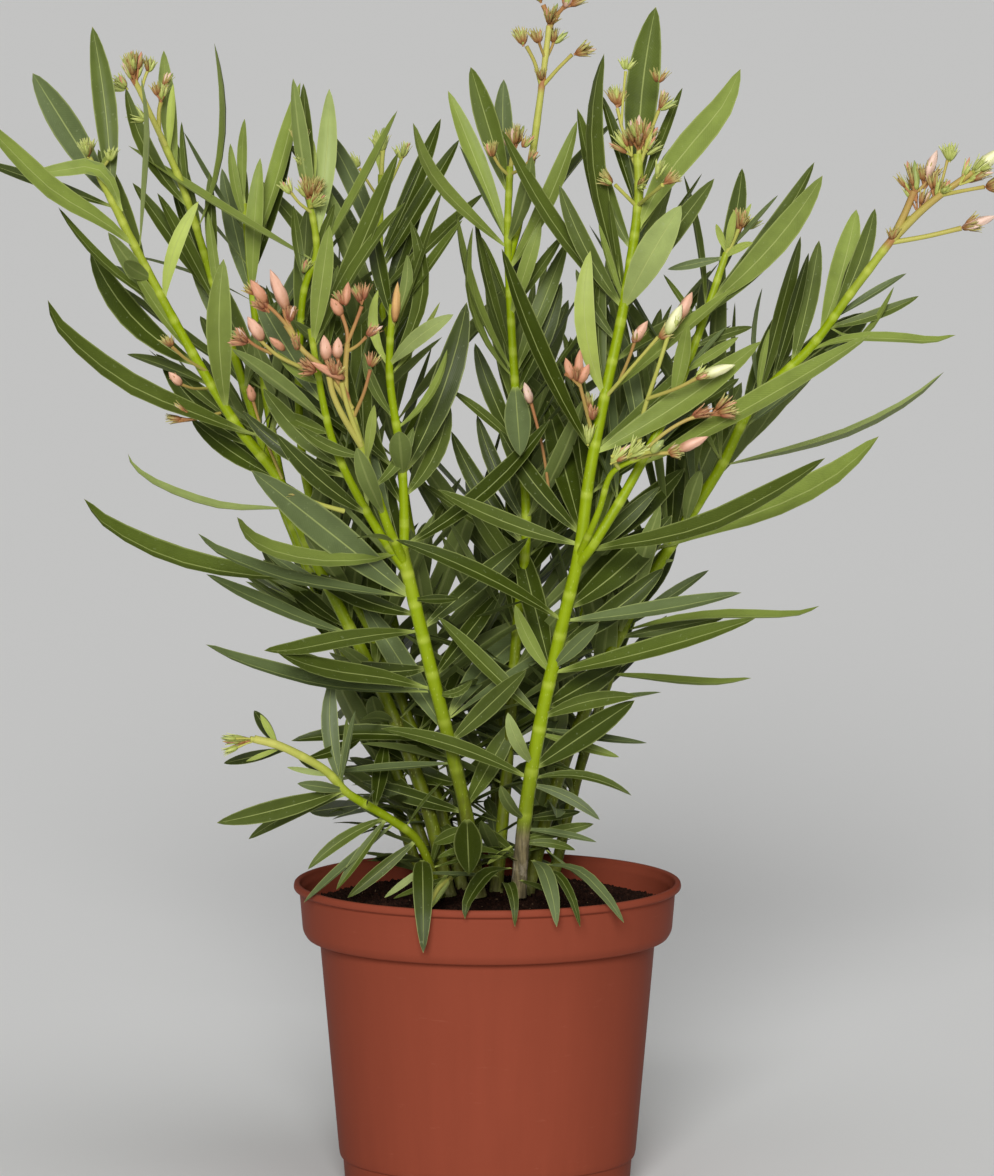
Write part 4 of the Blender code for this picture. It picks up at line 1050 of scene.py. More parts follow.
class FlowerSettings(bpy.types.PropertyGroup):
    """Buds and the small cups that hold them"""
    cup_length: metres("Cup Length", 0.0085, "Length of one cup of sepals")
    cup_radius: metres("Cup Radius", 0.0014, "Radius of one cup of sepals")
    seed: IntProperty(name="Seed", description="Turns the flower heads", default=5)
    pink: hue("Pink", paint(234, 184, 158), "Pink bud")
    salmon: hue("Salmon", paint(216, 156, 124), "Salmon bud")
    blush: hue("Blush", paint(238, 206, 188), "Bud of pale pink")
    cream: hue("Cream", paint(242, 238, 190), "Cream bud")
    amber: hue("Amber", paint(220, 176, 110), "Orange-yellow bud")
    green: hue("Green", paint(142, 156, 88), "Leafy bud")
    brown_cup: hue("Brown Cup", paint(156, 102, 58), "Brown sepals")
    green_cup: hue("Green Cup", paint(176, 186, 92), "Yellow-green sepals")
    rust_cup: hue("Rust Cup", paint(154, 90, 60), "Red-brown sepals")


class StageSettings(bpy.types.PropertyGroup):
    """Floor and light"""
    floor_radius: metres("Floor Radius", 40.0, "Radius of the pale floor")
    floor: hue("Floor", (0.84, 0.84, 0.83), "Pale floor")
    key_power: FloatProperty(name="Key", description="Strength of the soft light above the front", default=2.9)
    top_power: FloatProperty(name="Top", description="Strength of the soft light from above", default=0.75)
    fill_power: FloatProperty(name="Fill", description="Strength of the soft light behind", default=0.15)
    sky: FloatProperty(name="Sky", description="Strength of the pale surroundings", default=0.08)


# ---- Finishes ----
SCUFF, FLOOR_DUST = paint(196, 136, 116), paint(120, 78, 60)
FIBRE, PALE_GRAIN = paint(78, 52, 36), paint(150, 122, 92)
BARK_DOT, NODE_PALE, BARK_PEELED = paint(196, 206, 110), paint(200, 212, 90), paint(176, 164, 142)
BLADE_FOOT, BLADE_TIP, BLADE_SPECK = paint(186, 200, 104), paint(150, 140, 90), paint(176, 186, 140)
SIDE_VEINS = 62.0                   # pairs of them along a blade
PAINTED_SHADE_HEIGHTS = (0.36, 0.18)       # painted shade: blades darken downwards between these heights, over the darker green of older blades


def finish_pot(settings):
    """Moulded plastic: satin, with faint upright streaks, fine grain and a bloom of dust."""
    board, base = Finish("terracotta_plastic"), settings.colour
    streaks = board.noise(90.0, 4.0, 0.6, stretch=(1.0, 1.0, 0.06))
    cloud, grain = board.noise(14.0), board.noise(1500.0, 2.0)
    scuffs = board.noise(60.0, 5.0, 0.7, stretch=(1.0, 1.0, 7.0)).ramp(0.62, 0.78)
    height = board.spot.part("Z")
    shade = board.mix((streaks - 0.5) * 0.9 + (cloud - 0.5) * 0.7 + 0.45, shaded(base, 0.9), shaded(base, 1.1))
    shade = board.coats(
        shade,
        ((height / settings.height).ramp(0.0, 1.0) * 0.35, shaded(base, 1.06)),
        (scuffs * 0.10, SCUFF),
        (height.ramp(0.014, 0.002) * 0.3, FLOOR_DUST))
    return board.end(shade, 0.48 + (cloud - 0.5) * 0.14 + (streaks - 0.5) * 0.10 + scuffs * 0.1,
                     grain * 0.35 + streaks * 0.5 + cloud, 0.0004, 0.22, specular=0.02)


def finish_compost(settings):
    """Moist peat: near black, with browner fibres and a few pale grains."""
    board, base = Finish("compost_peat"), settings.colour
    clods, patches = board.noise(260.0, 6.0, 0.7), board.noise(900.0, 2.0)
    specks = board.noise(420.0, 1.0).ramp(0.70, 0.76)
    shade = board.coats(
        board.mix(clods.ramp(0.35, 0.68), shaded(base, 0.35), shaded(base, 1.3)),
        (patches.ramp(0.55, 0.75) * 0.35, FIBRE),
        (specks * 0.4, PALE_GRAIN))
    return board.end(shade, 0.92 - clods * 0.12, clods + patches * 0.5, 0.0012, 0.9, specular=0.1)


def finish_bark(settings):
    """Green bark that turns yellow-green upwards, pale at its nodes, grey and fissured where woody."""
    board = Finish("oleander_bark")
    youth, node, wood, blush, pale = map(board.mark, ("youth", "node", "wood", "blush", "pale"))
    fibres = board.noise(700.0, 5.0, 0.65, stretch=(1.0, 1.0, 0.10))
    blotches = board.noise(120.0, 4.0, 0.6)
    dots = board.node("ShaderNodeTexVoronoi", {}, {
        "Vector": board.stretched(board.spot, (1.0, 1.0, 0.45)), "Scale": 620.0}, out="Distance").ramp(0.22, 0.12)
    green = board.coats(
        settings.old_green,
        (youth, settings.green),
        ((blotches - 0.5) * 1.2 + 0.3, shaded(settings.green, 0.72)),
        (fibres.ramp(0.5, 0.8) * 0.25, shaded(settings.green, 1.25)),
        (dots * 0.28, BARK_DOT),
        (node.ramp(0.35, 0.95) * youth * 0.35, NODE_PALE),
        (pale * 0.85, settings.pale))
    woody = board.coats(
        shaded(settings.wood, 0.35),
        (fibres.ramp(0.38, 0.64), settings.wood),
        (blotches.ramp(0.52, 0.70) * 0.6, BARK_PEELED))
    shade = board.coats(
        green,
        (wood.ramp(0.25, 0.75), woody),
        ((blush * (0.8 + blotches * 0.4)).ramp(0.1, 0.95), settings.blush))
    return board.end(shade, 0.46 + wood * 0.4 + (fibres - 0.5) * 0.12,
                     fibres * (0.35 + wood * 2.0) + blotches * 0.4, 0.0005, 0.7, specular=0.25)


def finish_blade(name, colour, rib_colour, back=False):
    """A leathery blade: pale midrib and margin, fine side veins, satin bloom; dull below."""
    board = Finish(name)
    leaf = board.on_surface("leaf")
    across, along = leaf.part("X"), leaf.part("Y")
    aside = abs(across * 2.0 - 1.0)
    rib = aside.ramp(0.17, 0.06) if back else aside.ramp(0.075, 0.02)
    veins = ((along * SIDE_VEINS + aside * 5.5) * (2.0 * math.pi)).sine()
    mottle, fine = board.noise(75.0, 4.0, 0.6), board.noise(900.0, 3.0, 0.6)
    specks = board.noise(520.0, 1.0).ramp(0.68, 0.76)
    shade = board.mix((mottle - 0.5) * 1.1 + 0.5 + board.mark("tone") * 0.30,
                      shaded(colour, 0.70), shaded(colour, 1.30))
    shade = board.coats(
        shade,
        # painted shade, darker lower in the crown, over the darker green of older blades
        (board.spot.part("Z").ramp(*PAINTED_SHADE_HEIGHTS) * 0.2, shaded(colour, 0.4)),
        ((veins * 0.5 + 0.5) * 0.10 * (1.0 - rib), shaded(colour, 1.5)),
        (aside.ramp(0.15, 0.85) * 0.22, shaded(colour, 0.78)),
        (along.ramp(0.13, 0.01) * 0.85, BLADE_FOOT),
        (along.ramp(0.985, 1.0) * 0.6, BLADE_TIP),
        (specks * 0.16, BLADE_SPECK),
        (rib * (0.42 if back else 0.62) * (1.1 - along * 0.45), rib_colour),
        (aside.ramp(0.86, 0.97) * 0.38, rib_colour))
    rough = (0.60 if back else 0.44) + (mottle - 0.5) * 0.16 + (fine - 0.5) * 0.08
    relief = rib * (0.9 if back else -0.8) + veins * 0.10 + fine * 0.25
    return board.end(shade, rough, relief, 0.00035, 0.55, specular=0.25 if back else 0.28)


def finish_bud(name, colour, foot_colour):
    """A furled bud: streaked lengthwise, deeper towards its foot."""
    board = Finish(name)
    bud = board.on_surface("bud")
    around, along = bud.part("X"), bud.part("Y")
    streak = ((around * 5.0 + along * 1.6) * (2.0 * math.pi)).sine()
    cloud = board.noise(420.0)
    shade = board.coats(
        colour,
        (along.ramp(0.55, 0.0) * 0.75, foot_colour),
        ((streak * 0.5 + 0.5) * 0.28, foot_colour),
        ((cloud - 0.4) * 0.5, shaded(colour, 1.25)))
    return board.end(shade, 0.5 + (cloud - 0.5) * 0.1, streak * 0.4 + cloud, 0.0003, 0.5)


def finish_cup(name, colour, tip_colour):
    """Small pointed sepals, darker at the foot."""
    board = Finish(name)
    along = board.on_surface("bud").part("Y")
    cloud = board.noise(260.0, 3.0, 0.6)
    shade = board.coats(
        colour,
        (along.ramp(0.1, 0.9), tip_colour),
        (cloud.ramp(0.45, 0.68) * 0.35, shaded(colour, 0.6)))
    return board.end(shade, 0.55 + (cloud - 0.5) * 0.2, cloud, 0.0002, 0.4)


def finish_floor(settings):
    """A matt pale floor with the faintest clouds."""
    board = Finish("studio_floor")
    cloud = board.noise(3.0)
    shade = board.mix(cloud * 0.2, settings.floor, shaded(settings.floor, 0.97))
    return board.end(shade, 0.75 + cloud * 0.1, specular=0.0)


# ---- Pot ----
def round_corners(corners, steps=5):
    """A profile of (radius, height, fillet) corners with each fillet laid in as an arc."""
    profile = []
    for k, (radius, height, fillet) in enumerate(corners):
        here = Vector((radius, height))
        if fillet <= 0.0 or k in (0, len(corners) - 1):
            profile.append(here)
            continue
        back, ahead = Vector(corners[k - 1][:2]) - here, Vector(corners[k + 1][:2]) - here
        reach = min(fillet, back.length * 0.48, ahead.length * 0.48)
        start, end = here + back.normalized() * reach, here + ahead.normalized() * reach
        for s in range(steps + 1):
            t = s / steps
            profile.append(start.lerp(here, t).lerp(here.lerp(end, t), t))
    return profile


BASE_TOP, BASE_UNDERSIDE = 0.0168, 0.0150       # heights of the plate that closes the pot
ARCH_SHARES = (0.82, 0.9, 0.95, 0.98, 0.995, 1.0)   # extra uprights where a drainage arch turns steep
QUARTER_TURNS = [quarter * math.pi / 2 for quarter in range(4)]     # from one drainage arch to the next


class OLEANDER_OT_pot(bpy.types.Operator):
    """Turn the plastic pot, with its rolled lip, rim band and notched foot ring"""
    bl_idname = "oleander.pot"
    bl_label = "Pot"

    def execute(self, context):
        pot = context.scene.oleander_pot
        profile = round_corners(self.corners(pot))
        half = pot.notch_width / 2 / pot.foot_radius
        angles = {2 * math.pi * k / pot.segments for k in range(pot.segments)}
        angles |= {math.pi / 4 + turn + side * half * share
                   for turn in QUARTER_TURNS for share in ARCH_SHARES for side in (-1, 1)}

        shape = bmesh.new()
        rings = []
        for angle in sorted(angles):
            off = min(abs((angle - math.pi / 4 - turn + math.pi) % (2 * math.pi) - math.pi)
                      for turn in QUARTER_TURNS) / half
            arch = pot.notch_height * max(0.0, 1.0 - off ** 3.2) ** 0.42 if off < 1.0 else 0.0
            ring = []
            for radius, height in profile[1:-1]:
                if height < 0.0015:
                    radius += arch * (0.08 if radius > pot.foot_radius - 0.0018 else 0.01)
                    height += arch
                ring.append(shape.verts.new((radius * math.cos(angle), radius * math.sin(angle), height)))
            rings.append(ring)
        first, last = (shape.verts.new((0, 0, end.y)) for end in (profile[0], profile[-1]))
        for ring, following in zip(rings, rings[1:] + rings[:1]):
            here, there = [first, *ring, last], [first, *following, last]
            for corners in zip(here, there, there[1:], here[1:]):
                shape.faces.new(list(dict.fromkeys(corners)))
        bmesh.ops.recalc_face_normals(shape, faces=shape.faces)
        mesh = bpy.data.meshes.new("pot_shell")
        shape.to_mesh(mesh)
        shape.free()
        smooth_shade(mesh, math.radians(38))
        mesh.materials.append(finish_pot(pot))
        hand_over(add_object("pot_shell", mesh), "terracotta_plastic", "pot")
        return {"FINISHED"}

    @staticmethod
    def corners(pot):
        """(radius, height, fillet) from the plate's middle up the inside, over the lip and down to the foot."""
        wall, top, shoulder, step = pot.wall, pot.height, pot.shoulder_height, pot.step_height
        lip, band_top, band_foot = pot.lip_radius, pot.band_top_radius, pot.band_foot_radius
        body_top, body_foot, foot = pot.body_top_radius, pot.body_foot_radius, pot.foot_radius
        return (
            (0.0, BASE_TOP, 0), (body_foot - wall, BASE_TOP, 0.002), (body_top - wall, shoulder - 0.0006, 0.0012),
            (band_foot - wall, shoulder + 0.0045, 0.0015), (band_top - wall, top - 0.0045, 0.001),
            (lip - 0.0036, top - 0.0022, 0.001), (lip - 0.0030, top, 0.0011), (lip - 0.0006, top, 0.0011),
            (lip, top - 0.0018, 0.0012), (lip - 0.0002, top - 0.0034, 0.0009),
            (band_top + 0.0012, top - 0.0040, 0.0004), (band_top - 0.0001, top - 0.0046, 0.0004),
            (band_top, top - 0.0060, 0.0006), (band_foot, pot.band_foot_height, 0.0020),
            (band_foot - 0.0022, shoulder, 0.0012), (body_top + 0.0004, shoulder - 0.0003, 0.0004),
            (body_top, shoulder - 0.0014, 0.0004), (body_foot, step + 0.0026, 0.0008),
            (body_foot - 0.0006, step, 0.0007), (foot + 0.0013, step - 0.0007, 0.0005), (foot, 0.0, 0.0006),
            (foot - 0.0035, 0.0, 0.0006), (foot - 0.0033, BASE_UNDERSIDE, 0.0006), (0.0, BASE_UNDERSIDE, 0),
        )


# ---- Compost ----
def crumb_tree(finish):
    """Loose crumbs dealt out over an upward surface."""
    board, given = geometry_tree("crumbs", Crumb="Object", Density="Float", Size="Float", Seed="Int")
    seed = given["Seed"]
    points = board.node("GeometryNodeDistributePointsOnFaces", {}, {
        "Mesh": given["Geometry"], "Density": given["Density"], "Seed": seed})
    crumb = board.node("GeometryNodeObjectInfo", {}, {"Object": given["Crumb"]}, out="Geometry")
    turn, size = (board.node("FunctionNodeRandomValue", {"data_type": "FLOAT_VECTOR"}, {0: low, 1: high, "Seed": seed})
                  for low, high in (((0.0, 0.0, 0.0), (6.28, 6.28, 6.28)), ((0.35, 0.35, 0.3), (1.5, 1.2, 0.9))))
    dealt = board.node("GeometryNodeInstanceOnPoints", {}, {
        "Points": points, "Instance": crumb, "Rotation": turn, "Scale": board.scaled(size, given["Size"])})
    return board.end_growth(dealt, finish)


CLEAR_OF_WALL = 0.0006      # of the compost's edge
SURFACE_RELIEF = 0.00055    # of one wave of its top


class OLEANDER_OT_compost(bpy.types.Operator):
    """Heap the compost inside the pot and scatter loose crumbs on it"""
    bl_idname = "oleander.compost"
    bl_label = "Compost"

    def execute(self, context):
        pot, compost = context.scene.oleander_pot, context.scene.oleander_compost
        rng = random.Random(compost.seed)
        finish = finish_compost(compost)
        edge = pot.band_top_radius - pot.wall - CLEAR_OF_WALL
        rings, sides = 26, 120
        waves = [(rng.uniform(60, 330), rng.uniform(0, 6.28), rng.uniform(0, 6.28)) for _ in range(9)]
        vertices = [(0.0, 0.0, compost.top_height)]
        for ring in range(1, rings + 1):
            radius = edge * ring / rings
            slope = max(0.0, (radius - compost.flat_radius) / (edge - compost.flat_radius))
            level = compost.top_height + (compost.edge_height - compost.top_height) * slope ** 1.3
            for x, y, _ in circle(radius, 0.0, sides):
                rough = sum(math.sin(rate * (x * math.cos(way) + y * math.sin(way)) + shift) / (1 + rate / 90)
                            for rate, way, shift in waves)
                vertices.append((x, y, level + SURFACE_RELIEF * rough * (1.0 if ring < rings else 0.3)))
        top = len(vertices)
        foot = BASE_TOP + 0.0006
        for radius, clearance, height in ((pot.band_foot_radius, 0.0010, pot.shoulder_height + 0.0056),
                                          (pot.body_top_radius, 0.0016, pot.shoulder_height - 0.0006),
                                          (pot.body_foot_radius, 0.0022, foot)):
            vertices += circle(radius - pot.wall - clearance, height, sides)
        vertices.append((0.0, 0.0, foot))
        faces = [(0, 1 + s, 1 + (s + 1) % sides) for s in range(sides)]
        for start in range(1, top - sides, sides):
            faces += collar(start, sides, turned=True)
        surface = mesh_of("compost_surface", vertices[:top], faces)
        for start in range(top - sides, top + 2 * sides, sides):
            faces += collar(start, sides, turned=True)
        lowest = top + 2 * sides
        faces += [(lowest + s, lowest + sides, lowest + (s + 1) % sides) for s in range(sides)]
        bed = mesh_of("compost_bed", vertices, faces)
        smooth_shade(bed, math.radians(50))
        bed.materials.append(finish)
        hand_over(add_object("compost_bed", bed), "compost", "compost")

        shape = bmesh.new()
        bmesh.ops.create_icosphere(shape, subdivisions=1, radius=1.0)
        for vertex in shape.verts:
            vertex.co *= rng.uniform(0.65, 1.2)
        crumb_mesh = bpy.data.meshes.new("crumb")
        shape.to_mesh(crumb_mesh)
        shape.free()
        crumb = add_object("crumb", crumb_mesh)
        crumbs = grow("compost_crumbs", surface, crumb_tree(finish), {
            "Crumb": crumb, "Density": compost.density, "Size": compost.crumb_size, "Seed": compost.seed})
        bpy.data.objects.remove(crumb)
        hand_over(crumbs, "compost")
        return {"FINISHED"}


# ---- Stems ----
def stem_tree(finish):
    """Sweeps routes into round stems of their own radius, with relief on the woody ones."""
    board, given = geometry_tree("stems", Sides="Int", Relief="Float", Seed="Int")
    paths = board.node("GeometryNodeMeshToCurve", {}, {"Mesh": given["Geometry"]})
    section = board.node("GeometryNodeCurvePrimitiveCircle", {"mode": "RADIUS"}, {
        "Resolution": given["Sides"], "Radius": 1.0})
    swept = board.node("GeometryNodeCurveToMesh", {}, {
        "Curve": paths, "Profile Curve": section, "Scale": board.attribute("radius"), "Fill Caps": True})
    spot = board.node("GeometryNodeInputPosition")
    noise = board.node("ShaderNodeTexNoise", {"noise_dimensions": "4D"}, {
        "Vector": board.stretched(spot, (1.0, 1.0, 0.22)), "W": given["Seed"], "Scale": 420.0, "Detail": 3.0})
    lift = (noise - 0.5) * given["Relief"] * (0.28 + board.attribute("wood") * 1.6)
    moved = board.node("GeometryNodeSetPosition", {}, {
        "Geometry": swept, "Offset": board.scaled(board.node("GeometryNodeInputNormal"), lift)})
    soft = board.node("GeometryNodeSetShadeSmooth", {}, {"Geometry": moved, "Shade Smooth": True})
    return board.end_growth(soft, finish)


class Skeleton:
    """Poly-lines in one mesh, with a value of each named attribute at every point."""

    def __init__(self, kinds):
        self.kinds = kinds
        self.points, self.edges = [], []
        self.values = {name: [] for name in kinds}

    def add(self, points, **values):
        """Adds one line; a value is a run along it, or a number that holds all along it."""
        start = len(self.points)
        self.points += [tuple(p) for p in points]
        self.edges += [(start + k, start + k + 1) for k in range(len(points) - 1)]
        for name, run in values.items():
            self.values[name] += run if isinstance(run, (list, tuple)) else [run] * len(points)

    def mesh(self, name):
        mesh = mesh_of(name, self.points, [], self.edges)
        for attribute, kind in self.kinds.items():
            put_attribute(mesh, attribute, kind, self.values[attribute])
        return mesh


STEM_KINDS = dict.fromkeys(("radius", "youth", "node", "wood", "blush", "pale"), "FLOAT")
NODE_REACH = 0.0026     # how far along a stem a node's swelling reaches
RELIEF_SEED = 3

# Height on the sheet at which a stem starts to turn green, and over how much it does
GREEN_FROM = {"stem_front_right": (15.0, 8.0), "stem_front_left": (18.5, 8.0), "shoot_low_left": (15.5, 4.0)}

# Where a flowering shoot starts to pale, as a share of its length, and how far it pales at its tip
PALE_TIPS = {"bough_centre_top": (0.1, 1.0), "stem_front_right": (0.9, 0.3), "bough_front_left_bloom": (0.55, 0.9),
             "shoot_low_left": (0.55, 0.9), "stem_left": (0.8, 0.4), "stem_right": (0.85, 0.5),
             "stem_left_back": (0.85, 0.5), "stem_left_inner": (0.9, 0.2)}

# Heights at which a flowering shoot is red-brown where its stalks part
BLUSHING_FORKS = {"bough_centre_top": 54.3, "stem_right": 46.7, "bough_front_left_bloom": 39.2}


class OLEANDER_OT_stems(bpy.types.Operator):
    """Sweep the stems and boughs, swollen at their nodes and woody at the foot"""
    bl_idname = "oleander.stems"
    bl_label = "Stems"

    def execute(self, context):
        stems = context.scene.oleander_stems
        skeleton = Skeleton(STEM_KINDS)
        for name, shoot in SHOOTS.items():
            route, marks = ROUTES[name], whorl_marks(name)
            green_from, fades_over = GREEN_FROM.get(name, (23.0, 8.0))
            pale_from, palest = PALE_TIPS.get(name, (0.85, 0.15))
            fork = BLUSHING_FORKS.get(name, 99.0)
            bark = {kind: [] for kind in STEM_KINDS}
            for length, up in zip(route.lengths, route.sheet[:, 1]):
                share = length / route.length
                near = max((math.exp(-((length - mark) / NODE_REACH) ** 2) for mark in marks), default=0.0)
                flare = 0.7 * math.exp(-length / 0.006) if shoot.parent is None else 0.0
                woody = 1.0 - (up - 16.6) / 2.4 if name == "stem_front_right" else 0.3 - (up - 16.2) / 8.0
                radius = (shoot.foot + (shoot.tip - shoot.foot) * share + flare) * MM + stems.swelling * near
                for kind, value in (
                        ("radius", radius), ("node", near),
                        ("youth", clamp((up - green_from) / fades_over)),
                        ("wood", clamp(woody) if rises_from_compost(name) else 0.0),
                        ("blush", 0.9 * math.exp(-((up - fork) / 0.5) ** 2)),
                        ("pale", palest * clamp((share - pale_from) / (1.0 - pale_from)) ** 0.7)):
                    bark[kind].append(value)
            skeleton.add(route.points, **bark)
        board = stem_tree(finish_bark(stems))
        piece = grow("stems_bark", skeleton.mesh("stem_routes"), board,
                     {"Sides": stems.sides, "Relief": stems.relief, "Seed": RELIEF_SEED})
        hand_over(piece, "stem", *SHOOTS)

        stalks = Skeleton(STEM_KINDS)
        for stalk in STALKS:
            route = Route([place(*p) for p in stalk.route], 1.5 * MM)
            shares = [length / route.length for length in route.lengths]
            stalks.add(route.points, youth=1.0, wood=0.0, pale=0.75,
                       radius=[(stalk.foot + (stalk.tip - stalk.foot) * s + 0.25 * s ** 6) * MM for s in shares],
                       node=[0.35 * s ** 8 for s in shares],
                       blush=[stalk.blush * (0.6 + 0.4 * s) for s in shares])
        piece = grow("stalks", stalks.mesh("stalk_routes"), board, {"Sides": 8, "Relief": 0.0002, "Seed": RELIEF_SEED})
        hand_over(piece, "stem")
        return {"FINISHED"}


# ---- Leaves ----
# How far along a blade its cross-sections stand
STATIONS = (0.0, 0.03, 0.08, 0.16, 0.27, 0.40, 0.53, 0.66, 0.78, 0.88, 0.95, 1.0)
LEAF_KINDS = {"side": "FLOAT_VECTOR", "lift": "FLOAT_VECTOR", "half_width": "FLOAT", "along": "FLOAT",
              "tint": "INT", "tone": "FLOAT"}
# Across a blade, (offset, rise, seen from below, margin), both in half widths, once round the section
BLADE_SECTION = ((1.0, 0.0, 0, 1), (0.5, 0.045, 0, 0), (0.0, 0.0, 0, 0), (-0.5, 0.045, 0, 0), (-1.0, 0.0, 0, 1),
                 (0.0, -0.10, 1, 0), (1.0, 0.0, 0, 1))

MERGE_DISTANCE = 0.000002   # joins a swept section's first and last point
PETIOLE_END = 0.12          # share of a blade over which it is at least as wide as its stalk
THINNEST = 0.00006          # half the width of a blade's very tip

RIM_RADIUS, OVER_RIM = 0.0965, 0.1565   # where a low leaf meets the pot's rim, and how high it passes
LOW_WHORL = 0.24                        # the whorls below this height spread wide
FURTHEST_TIP = 17.5                     # a leaf's tip stands no further to the front or back, in cm
KEPT_CLEAR = 0.62                       # cm between a rule's leaf and what shows behind it
# Turns about the shoot, in radians, that a rule's leaf tries one after the other
SIDESTEPS = (0, 0.35, -0.35, 0.7, -0.7, 1.05, -1.05, 1.4, -1.4)
# The rule's leaves: length in cm; angle to the shoot and bend along the blade in degrees, where the leaf
# is old, young or low on the plant; and the shares of its length that are tried until one fits
RULE_LENGTH, LOW_SHOOT_LENGTH = (8.6, 11.8), (3.4, 5.2)
OLD_ANGLE, YOUNG_ANGLE, LOW_ANGLE = (38, 62), (14, 28), (55, 82)
BEND, LOW_BEND = (-22, 20), (-5, 35)
SHORTENED = (1.0, 0.8, 0.62)
# Heights from which a stem isn't to be hidden by the rule's leaves
IN_VIEW_FROM = {
    "stem_front_left": 19, "bough_front_left_leader": 33, "bough_front_left_bloom": 34,
    "bough_front_left_upright": 32, "stem_front_right": 16, "bough_front_right_outer": 32,
    "bough_front_right_bloom": 33, "stem_right": 33.5, "stem_centre": 33, "bough_centre_top": 50,
    "stem_left": 33.5, "stem_left_inner": 45.5, "stem_left_back": 50, "shoot_low_left": 18,
    "stem_centre_back": 49, "bough_left_back_inner": 46.5}

Leaf = namedtuple("Leaf", "points normals width tint tone fold")


def outline_at(along):
    """Half width of a blade as a share of its greatest, along its length."""
    return math.sin(math.pi * min(along, 1.0) ** 1.15) ** 0.68 if 0.0 < along < 1.0 else 0.0


def blade_tree(finishes, under):
    """Sweeps midribs into folded blades with a margin, each face in the finish of its own tint."""
    board, given = geometry_tree("blades", Section="Object", Merge="Float")
    ribs = board.node("GeometryNodeMeshToCurve", {}, {"Mesh": given["Geometry"]})
    held = board.node("GeometryNodeSetCurveNormal", {"mode": "FREE"}, {
        "Curve": ribs, "Normal": board.attribute("side", "FLOAT_VECTOR")})
    section = board.node("GeometryNodeMeshToCurve", {}, {"Mesh": board.node(
        "GeometryNodeObjectInfo", {}, {"Object": given["Section"]}, out="Geometry")})
    swept = board.node("GeometryNodeCurveToMesh", {}, {
        "Curve": held, "Profile Curve": section, "Scale": board.attribute("half_width"), "Fill Caps": True})
    folded = board.node("GeometryNodeSetPosition", {}, {"Geometry": swept, "Offset": board.scaled(
        board.attribute("lift", "FLOAT_VECTOR"), abs(board.attribute("across")) ** 1.5)})
    flat = board.node("ShaderNodeCombineXYZ", {}, {
        "X": board.attribute("across") * 0.5 + 0.5, "Y": board.attribute("along")})
    mapped = board.node("GeometryNodeStoreNamedAttribute", {"data_type": "FLOAT2", "domain": "CORNER"}, {
        "Geometry": folded, "Name": "leaf", "Value": flat})
    whole = board.node("GeometryNodeMergeByDistance", {}, {
        "Geometry": mapped, "Distance": given["Merge"]})
    soft = board.node("GeometryNodeSetShadeSmooth", {"domain": "FACE"}, {"Geometry": whole, "Shade Smooth": True})
    crisp = board.node("GeometryNodeSetShadeSmooth", {"domain": "EDGE"}, {
        "Geometry": soft, "Selection": board.compare("GREATER_THAN", board.attribute("margin"), 0.75),
        "Shade Smooth": False})
    ended = board.node("GeometryNodeRealizeInstances", {}, {"Geometry": crisp})
    choices = [(board.compare("LESS_THAN", abs(board.attribute("tint") - float(number)), 0.4), finish)
               for number, finish in enumerate(finishes)]
    choices.append((board.compare("GREATER_THAN", board.attribute("below"), 0.2), under))
    for chosen, finish in choices:
        ended = board.node("GeometryNodeSetMaterial", {}, {
            "Geometry": ended, "Selection": chosen, "Material": finish})
    board.node("NodeGroupOutput", {}, {"Geometry": ended})
    return board


def blade_section():
    """The object whose poly-line is the blade's cross-section."""
    across, rise, below, margin = zip(*BLADE_SECTION)
    mesh = mesh_of("blade_section", [(x, y, 0) for x, y in zip(across, rise)], [],
                   [(k, k + 1) for k in range(len(across) - 1)])
    for name, values in (("across", across), ("below", below), ("margin", margin)):
        put_attribute(mesh, name, "FLOAT", values)
    return add_object("blade_section", mesh)


